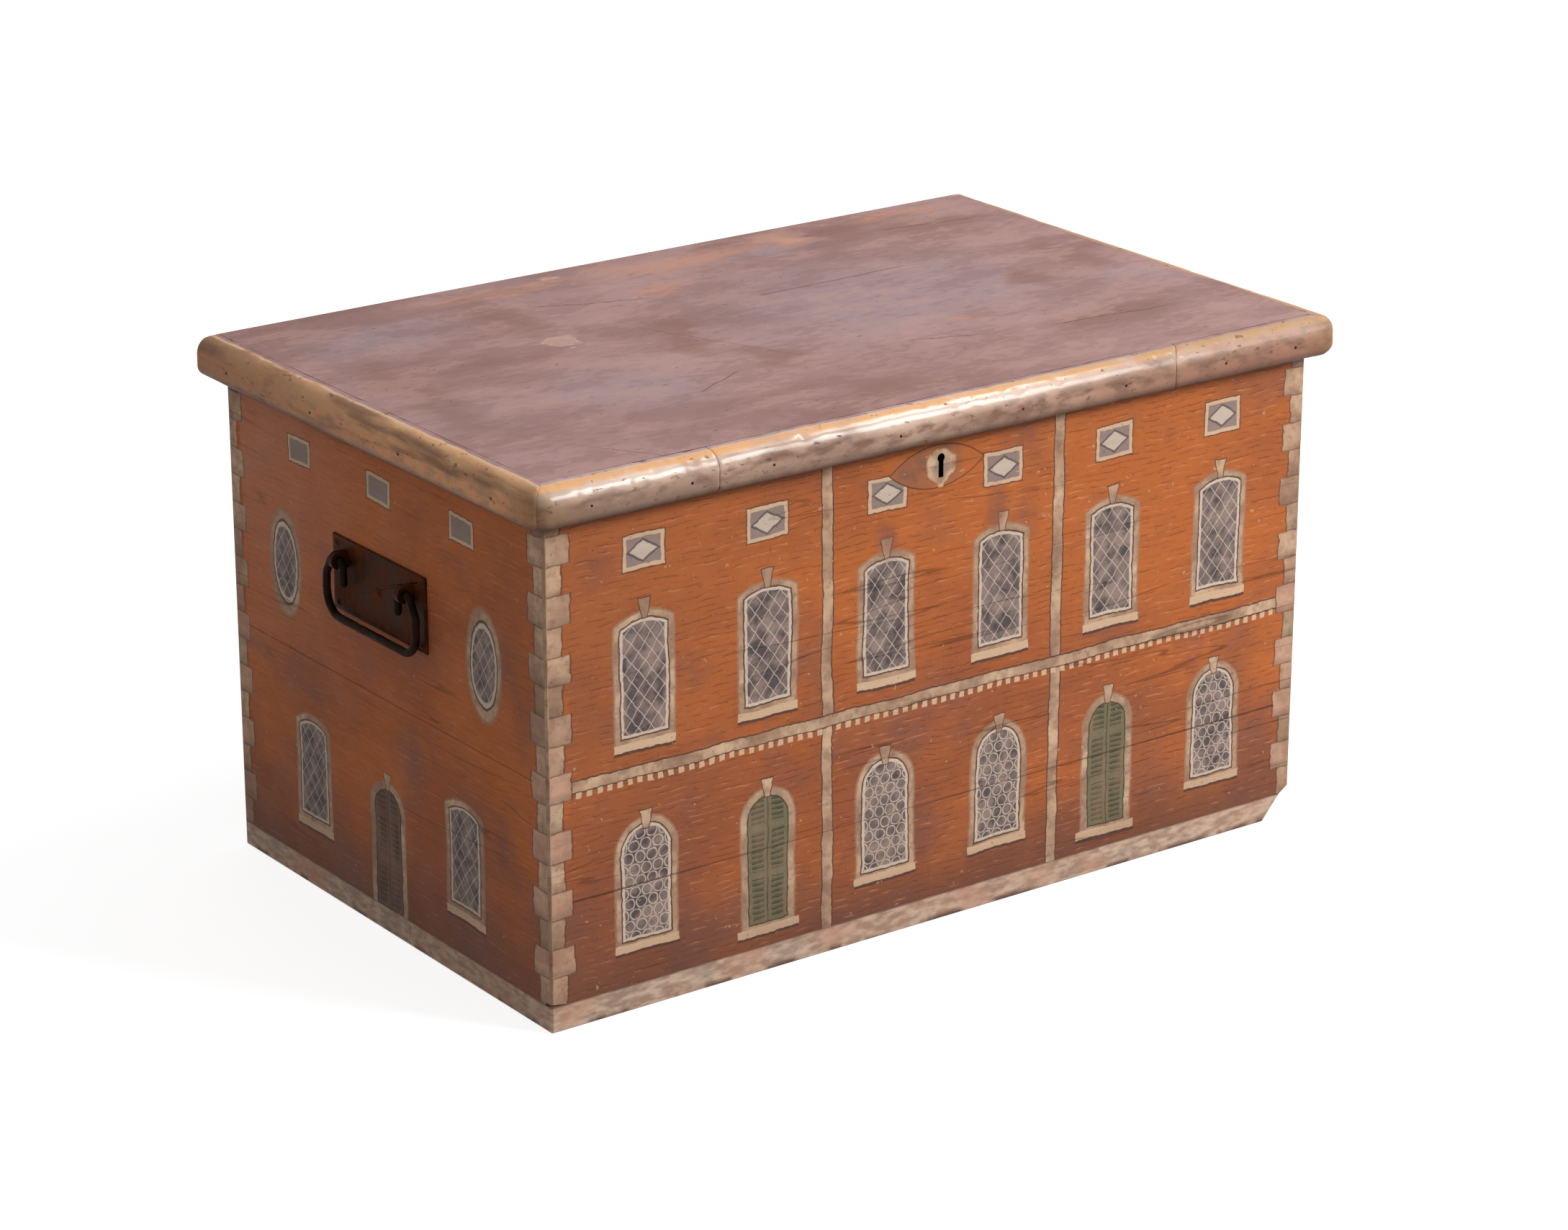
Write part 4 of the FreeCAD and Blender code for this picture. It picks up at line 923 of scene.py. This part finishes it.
# %% Choose by name
def finish_of(name):
    """Which finish a node of the model takes, told from its name."""
    if name in ("lid_left_moulding", "lid_right_moulding"):
        return "end_moulding"
    if name.startswith("lid_front_moulding"):
        return "front_moulding"
    if name.startswith("lid_") and name.endswith("_board"):
        return "lid"
    if name.startswith("bottom_") and name.endswith("_board"):
        return "foot"
    if "patch" in name:
        return "patch"
    for side in ("front", "back", "end"):
        if side in name and name.endswith("_board"):
            return side
    return "bail" if name.endswith("_bail") else "iron"


for name, node in nodes.items():
    node.data.materials.clear()
    node.data.materials.append(FINISHES[finish_of(name)])
print("Finished", len(nodes), "nodes")

# %% [markdown]
# The model's moulding is true to shape but faceted, and it has never been knocked. Here each
# length is a section carried along the lid's outline. At a corner the section turns about the
# centre of the corner's round, so a mitre is simply the row that faces 45 degrees.


# %% A skin from rows of rings
def skin(name, points, replaced, finish, smooth_below=40):
    """A closed mesh from an array of rows x ring x 3: rings joined in order, ends filled."""
    rows, ring = points.shape[:2]
    index = np.arange(rows * ring).reshape(rows, ring)
    turned = np.roll(index, -1, axis=1)
    quads = np.stack([index[:-1], turned[:-1], turned[1:], index[1:]], axis=-1).reshape(-1, 4)
    flat = points.reshape(-1, 3)
    corner = flat[quads] - flat.mean(axis=0)
    volume = np.einsum("ij,ij->i", corner[:, 0], np.cross(corner[:, 1], corner[:, 2])).sum()
    volume += np.einsum("ij,ij->i", corner[:, 0], np.cross(corner[:, 2], corner[:, 3])).sum()
    faces = quads.tolist() + [index[0][::-1].tolist(), index[-1].tolist()]
    if volume < 0:
        faces = [face[::-1] for face in faces]
    mesh = bpy.data.meshes.new(name)
    mesh.from_pydata(flat.tolist(), [], faces)
    mesh.materials.append(FINISHES[finish])
    mesh.polygons.foreach_set("use_smooth", np.ones(len(mesh.polygons), bool))
    mesh.set_sharp_from_angle(angle=math.radians(smooth_below))
    piece = bpy.data.objects.new(name, mesh)
    bpy.context.scene.collection.objects.link(piece)
    hand_over(piece, replaced)
    print(name, "has", len(mesh.polygons), "faces")
    return piece


def hand_over(piece, replaced):
    """Lets a finer piece ride in the place of the model's node, on the same body."""
    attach(piece, nodes[replaced].parent.name.removeprefix("body:"))
    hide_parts(replaced)


# %% The moulding's section
TOP_ROUND = 15 * MM
FOOT_ROUND = 11 * MM
CORNER_ROUND = 18 * MM
REAR_BEVEL = 2 * MM
EDGE_DEPTH = LID_HALF_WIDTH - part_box("lid_front_board")[1].x


def section():
    """Inset and height round the section, and the way each point faces.
    A flat top, a quarter circle down to the nose, a smaller one below it, and a flat foot."""
    turn = np.linspace(0, math.pi / 2, 22)
    flat = np.linspace(EDGE_DEPTH, TOP_ROUND, 6)[:-1]
    top = np.stack([TOP_ROUND * (1 - np.sin(turn)), LID_TOP - TOP_ROUND * (1 - np.cos(turn))])
    top_way = np.stack([-np.sin(turn), np.cos(turn)])
    nose = np.linspace(top[1, -1], EDGE_FOOT + FOOT_ROUND, 6)[1:-1]
    foot = np.stack([FOOT_ROUND * (1 - np.cos(turn)), EDGE_FOOT + FOOT_ROUND * (1 - np.sin(turn))])
    foot_way = np.stack([-np.cos(turn), -np.sin(turn)])
    flat_top = np.stack([flat, np.full(5, LID_TOP)])
    places = [flat_top, top, np.stack([nose * 0, nose]), foot, [[EDGE_DEPTH], [EDGE_FOOT]]]
    up = np.stack([flat * 0, flat * 0 + 1])
    ways = [up, top_way, np.stack([nose * 0 - 1, nose * 0]), foot_way, [[0], [-1]]]
    return np.concatenate(places, axis=1), np.concatenate(ways, axis=1)


SECTION, SECTION_WAY = section()
print("The moulding's section has", SECTION.shape[1], "points")

# %% [markdown]
# A new moulding would be a perfect extrusion. An old one has been knocked about, so its face
# strays from true in slow waves, and has dents where it was struck. Both are sums of simple
# curves over the surface: sines for the waves, and bells for the dents.


# %% Wear as a distance
def strays(points, seed):
    """Three sines of place, added up and kept below zero: up to 0.5 mm inwards."""
    x, y, z = np.moveaxis(points, -1, 0)
    run = x + y
    waves = np.sin(run * 31 + seed) + 0.7 * np.sin(run * 83 + z * 300) + 0.4 * np.sin(run * 210 - z * 420 + seed)
    return (waves - 2.1) * 0.12 * MM


def dents(points, count, seed):
    """Bell shaped hollows, exp(-distance^2 / radius^2), at points picked from the surface."""
    picks = np.random.default_rng(seed)
    flat = points.reshape(-1, 3)
    centres = flat[picks.integers(0, len(flat), count)]
    radius = picks.uniform(1.5, 5.0, count) * MM
    depth = picks.uniform(0.04, 0.15, count) * radius
    apart = np.linalg.norm(points[:, :, None, :] - centres, axis=-1)
    return -(depth * np.exp(-((apart / radius) ** 2))).sum(-1)


# %% A length of moulding
INNER_X = LID_HALF_WIDTH - EDGE_DEPTH
INNER_Y = LID_FRONT + EDGE_DEPTH


def length_of_moulding(name, centres, ways, has_start_joint, finish, seed):
    """Rows of sections: each is centre + way * (corner round - inset), pushed in by wear."""
    inset, height = SECTION
    flat = centres + ways[:, None, :] * (CORNER_ROUND - inset[None, :, None])
    flat[..., 0] = np.where(inset > CORNER_ROUND, np.clip(flat[..., 0], -INNER_X, INNER_X), flat[..., 0])
    flat[..., 1] = np.where(inset > CORNER_ROUND, np.maximum(flat[..., 1], INNER_Y), flat[..., 1])
    level = np.broadcast_to(height[None, :, None], flat.shape[:2] + (1,))
    points = np.concatenate([flat, level], axis=-1)
    step = np.linalg.norm(np.diff(points[:, 30, :2], axis=0), axis=-1)
    along = np.concatenate([[0], np.cumsum(step)])
    from_joint = along[-1] - along
    if has_start_joint:
        from_joint = np.minimum(along, from_joint)
    worn = strays(points, 1.7) + dents(points, 70, seed)
    worn = worn - 0.45 * MM * np.exp(-from_joint / (0.9 * MM))[:, None]
    worn = worn * np.clip((EDGE_DEPTH - inset) / (4 * MM), 0, 1)
    points[..., :2] -= ways[:, None, :] * (SECTION_WAY[0] * worn)[..., None]
    points[..., 2] += SECTION_WAY[1] * worn
    over_bevel = np.maximum(0, points[..., 2] - LID_TOP + REAR_BEVEL)
    points[..., 1] = np.minimum(points[..., 1], LID_REAR - over_bevel)
    return skin(name + "_worn", points, name, finish)


# %% Rows along straights and round corners
CORNER_X = LID_HALF_WIDTH - CORNER_ROUND
CORNER_Y = LID_FRONT + CORNER_ROUND
ROW = 1.5 * MM


def corner_rows(side, turn_from, turn_to):
    """The centre stays, and the way turns from the end (0) to the front (a quarter turn)."""
    turn = np.linspace(turn_from, turn_to, 14)
    ways = np.stack([side * np.cos(turn), -np.sin(turn)], axis=1)
    centres = np.broadcast_to([side * CORNER_X, CORNER_Y], (14, SECTION.shape[1], 2))
    return centres.copy(), ways


def front_rows(start, end):
    """Rows from start to end, each an x for every point of the section, so a joint can slant."""
    count = int(np.abs(end - start).max() / ROW) + 2
    x = start + (end - start) * np.linspace(0, 1, count)[:, None]
    return np.stack([x, np.full(x.shape, CORNER_Y)], axis=-1), np.tile([0.0, -1.0], (count, 1))


def end_rows(side):
    """Rows from the rear to the corner, all facing sideways."""
    count = int((LID_REAR - CORNER_Y) / ROW)
    y = np.linspace(LID_REAR, CORNER_Y, count, endpoint=False)[:, None] + np.zeros(SECTION.shape[1])
    return np.stack([np.full(y.shape, side * CORNER_X), y], axis=-1), np.tile([float(side), 0.0], (count, 1))


# %% The five lengths
LEFT_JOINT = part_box("lid_front_moulding_left")[1].x
MIDDLE_LOW, MIDDLE_HIGH = (corner.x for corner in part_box("lid_front_moulding_middle"))
RIGHT_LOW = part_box("lid_front_moulding_right")[0].x
SLANT = 14 * MM
QUARTER = math.pi / 4


def joined_rows(*parts):
    """Several runs of rows as one."""
    return np.concatenate([part[0] for part in parts]), np.concatenate([part[1] for part in parts])


level_with = np.ones(SECTION.shape[1])
middle_end = MIDDLE_HIGH - SLANT * (1 - SECTION[0] / EDGE_DEPTH)
right_start = middle_end + (RIGHT_LOW - (MIDDLE_HIGH - SLANT))
front_left = joined_rows(
    corner_rows(-1, QUARTER, 2 * QUARTER), front_rows((ROW - CORNER_X) * level_with, LEFT_JOINT * level_with)
)
front_middle = front_rows(MIDDLE_LOW * level_with, middle_end)
front_right = joined_rows(
    front_rows(right_start, (CORNER_X - ROW) * level_with), corner_rows(1, 2 * QUARTER, QUARTER)
)
length_of_moulding("lid_front_moulding_left", *front_left, True, "front_moulding", 3)
length_of_moulding("lid_front_moulding_middle", *front_middle, True, "front_moulding", 4)
length_of_moulding("lid_front_moulding_right", *front_right, True, "front_moulding", 5)
for side, name in ((-1, "left"), (1, "right")):
    rows = joined_rows(end_rows(side), corner_rows(side, 0, QUARTER))
    length_of_moulding("lid_" + name + "_moulding", *rows, False, "end_moulding", 7 + side)

# %% [markdown]
# The handle's bail is a bar bent hot round a jig, so its bends are smooth, and its section is
# round but hammered. The route is a line of corners, each replaced by an arc, and the section
# turns with it.


# %% The bail's route
def rounded_route(corners, radii, step):
    """Points of straight runs and tangent arcs: each arc's centre lies radius / cos(half) inside."""
    runs = [corners[0][None]]
    for before, corner, after, radius in zip(corners, corners[1:], corners[2:], radii):
        back = (before - corner) / np.linalg.norm(before - corner)
        ahead = (after - corner) / np.linalg.norm(after - corner)
        half = (math.pi - math.acos(back @ ahead)) / 2
        inward = (back + ahead) / np.linalg.norm(back + ahead)
        sideways = (ahead - back) / np.linalg.norm(ahead - back)
        turn = np.linspace(-half, half, 14)[:, None]
        centre = corner + inward * radius / math.cos(half)
        runs.append(centre + (sideways * np.sin(turn) - inward * np.cos(turn)) * radius)
    runs.append(corners[-1][None])
    route = np.concatenate(runs)
    length = np.concatenate([[0], np.cumsum(np.linalg.norm(np.diff(route, axis=0), axis=1))])
    even = np.arange(0, length[-1], step)
    return np.stack([np.interp(even, length, route[:, k]) for k in range(2)], axis=1)


# %% The bails
POST_HALF_GAP = 52.5 * MM
HOOK_HALF = 9 * MM
HOOK_LENGTH = 22 * MM
SHOULDER_DROP = 16 * MM
BAR = 3.7 * MM
BENDS = [5.2 * MM, 5.2 * MM, 12 * MM, 20 * MM]


def bail(side, name):
    """A hammered bar swept along the route, its radius closing to nothing at both ends."""
    low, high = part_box(name)
    top, bottom, reach = high.z - BAR, low.z + BAR, high.y - BAR
    inner, outer = POST_HALF_GAP - HOOK_HALF, POST_HALF_GAP + HOOK_HALF
    hook = [(inner, top - HOOK_LENGTH), (inner, top), (outer, top)]
    half = np.array(hook + [(reach, top - SHOULDER_DROP), (reach, bottom)])
    corners = np.concatenate([half, half[::-1] * [-1, 1]])
    route = rounded_route(corners, BENDS + BENDS[::-1], 0.8 * MM)
    way = np.gradient(route, axis=0)
    way /= np.linalg.norm(way, axis=1)[:, None]
    across = np.stack([-way[:, 1], way[:, 0]], axis=1)
    along = np.arange(len(route)) * 0.8 * MM
    to_end = np.minimum(along, along[-1] - along) / BAR
    swell = np.sqrt(1 - (1 - np.clip(to_end, 0.02, 1)) ** 2)[:, None]
    turn = np.linspace(0, 2 * math.pi, 24, endpoint=False)[None]
    hammer = np.abs(np.sin(turn * 2.5 + along[:, None] * 130)) + np.abs(np.sin(turn * 1.5 - along[:, None] * 210))
    radius = BAR * swell * (1 - 0.05 * hammer)
    flat = route[:, None] + across[:, None] * (radius * np.cos(turn))[..., None]
    x = (low.x + high.x) / 2 + radius * np.sin(turn)
    return skin(name + "_forged", np.concatenate([x[..., None], flat], axis=-1), name, "bail", 60)


bail(-1, "left_handle_bail")
bail(1, "right_handle_bail")

# %% [markdown]
# The rest of the iron keeps the model's shape, but a smith's file and long use leave no sharp
# edge. A merged copy of each fitting gets a small bevel on its edges.


# %% Softened iron
def softened(name, width):
    """A copy of a node, its doubles merged and flat triangles joined, with bevelled edges."""
    mesh = nodes[name].data.copy()
    piece = bpy.data.objects.new(name + "_soft", mesh)
    bpy.context.scene.collection.objects.link(piece)
    work = bmesh.new()
    work.from_mesh(mesh)
    bmesh.ops.remove_doubles(work, verts=work.verts, dist=0.01 * MM)
    bmesh.ops.dissolve_limit(work, angle_limit=0.02, verts=work.verts, edges=work.edges)
    work.to_mesh(mesh)
    work.free()
    mesh.polygons.foreach_set("use_smooth", np.ones(len(mesh.polygons), bool))
    mesh.set_sharp_from_angle(angle=math.radians(40))
    bevel = piece.modifiers.new("filed edges", "BEVEL")
    bevel.limit_method = "ANGLE"
    bevel.angle_limit = math.radians(30)
    bevel.width = width
    bevel.segments = 2
    bevel.harden_normals = True
    hand_over(piece, name)


for side in ("left", "right"):
    for part, width in (("plate", 0.5), ("posts", 0.6), ("nails", 0.25), ("roves", 0.5)):
        softened(side + "_handle_" + part, width * MM)
    for part in ("case_leaf", "lid_leaf"):
        softened(side + "_hinge_" + part, 0.3 * MM)
for name in ("lock_plate", "lock_cover", "link_plate", "lock_bolt"):
    softened(name, 0.3 * MM)
print("Softened the iron fittings")

# %% [markdown]
# The chest stands in a white studio. The floor is white to the camera and keeps a soft shadow. A
# broad lamp from the front right lights the front, and the left end falls into shade. A long
# lamp over the right puts the shine along the moulding.


# %% Floor
def floor():
    """A wide sheet a hair under the chest, partly lit and partly glowing for camera, mirror and
    glass rays."""
    mesh = bpy.data.meshes.new("floor")
    corners = [(x, y, -0.2 * MM) for x, y in ((-30, -30), (30, -30), (30, 30), (-30, 30))]
    mesh.from_pydata(corners, [], [(0, 1, 2, 3)])
    piece = bpy.data.objects.new("floor", mesh)
    bpy.context.scene.collection.objects.link(piece)
    recipe = Recipe("floor_white")
    rays = recipe.add("ShaderNodeLightPath")
    seen = rays.out("Is Camera Ray").above(rays.out("Is Glossy Ray")).above(rays.out("Is Transmission Ray"))
    glow = recipe.mix(seen, (0, 0, 0, 1), (1, 1, 1, 1))
    recipe.tree.links.new(glow.socket, recipe.shader.inputs["Emission Color"])
    recipe.finish((0.55, 0.55, 0.55, 1), 1.0, Specular_IOR_Level=0.0, Emission_Strength=0.78)
    mesh.materials.append(recipe.material)


floor()

# %% Sky
SKY = 0.42


def sky():
    """White at full strength where it is seen, and an even, dimmer light for the rest."""
    world = bpy.data.worlds.new("sky")
    world.use_nodes = True
    tree = world.node_tree
    rays = tree.nodes.new("ShaderNodeLightPath")
    seen = rays.outputs["Is Camera Ray"]
    for kind in ("Is Glossy Ray", "Is Transmission Ray"):
        either = tree.nodes.new("ShaderNodeMath")
        either.operation = "MAXIMUM"
        tree.links.new(seen, either.inputs[0])
        tree.links.new(rays.outputs[kind], either.inputs[1])
        seen = either.outputs[0]
    strength = tree.nodes.new("ShaderNodeMath")
    strength.operation = "MULTIPLY_ADD"
    strength.inputs[1].default_value = 1 - SKY
    strength.inputs[2].default_value = SKY
    tree.links.new(seen, strength.inputs[0])
    tree.links.new(strength.outputs[0], tree.nodes["Background"].inputs["Strength"])
    tree.nodes["Background"].inputs["Color"].default_value = (1, 1, 1, 1)
    bpy.context.scene.world = world


sky()


# %% Lamps
def lamp(name, place, aim, wide, tall, power):
    """A rectangular lamp that faces its aim."""
    data = bpy.data.lights.new(name, "AREA")
    data.shape = "RECTANGLE"
    data.size = wide
    data.size_y = tall
    data.energy = power
    piece = bpy.data.objects.new(name, data)
    piece.location = place
    piece.rotation_mode = "QUATERNION"
    piece.rotation_quaternion = (Vector(aim) - Vector(place)).to_track_quat("-Z", "Y")
    bpy.context.scene.collection.objects.link(piece)


lamp("key", (2.2, -3.0, 2.4), (0, 0, 0.2), 1.6, 1.6, 140)
lamp("shine", (1.25, -0.45, 2.2), (0, -0.2, 0.45), 0.9, 0.2, 12)

# %% [markdown]
# The camera stands where the photograph was taken from: a little left of the front corner and
# above the lid, far enough away for the long lens.

# %% Camera
CAMERA_PLACE = Vector((-2.24149, -3.09839, 1.58664))
CAMERA_BACK = Vector((-0.55365, -0.76029, 0.33977))
camera_data = bpy.data.cameras.new("camera")
camera_data.sensor_fit = "HORIZONTAL"
camera_data.sensor_width = 36
camera_data.lens = 105.09
camera = bpy.data.objects.new("camera", camera_data)
camera.location = CAMERA_PLACE
camera.rotation_mode = "QUATERNION"
camera.rotation_quaternion = (-CAMERA_BACK).to_track_quat("-Z", "Y")
bpy.context.scene.collection.objects.link(camera)
bpy.context.scene.camera = camera
bpy.context.scene.view_settings.view_transform = "Standard"
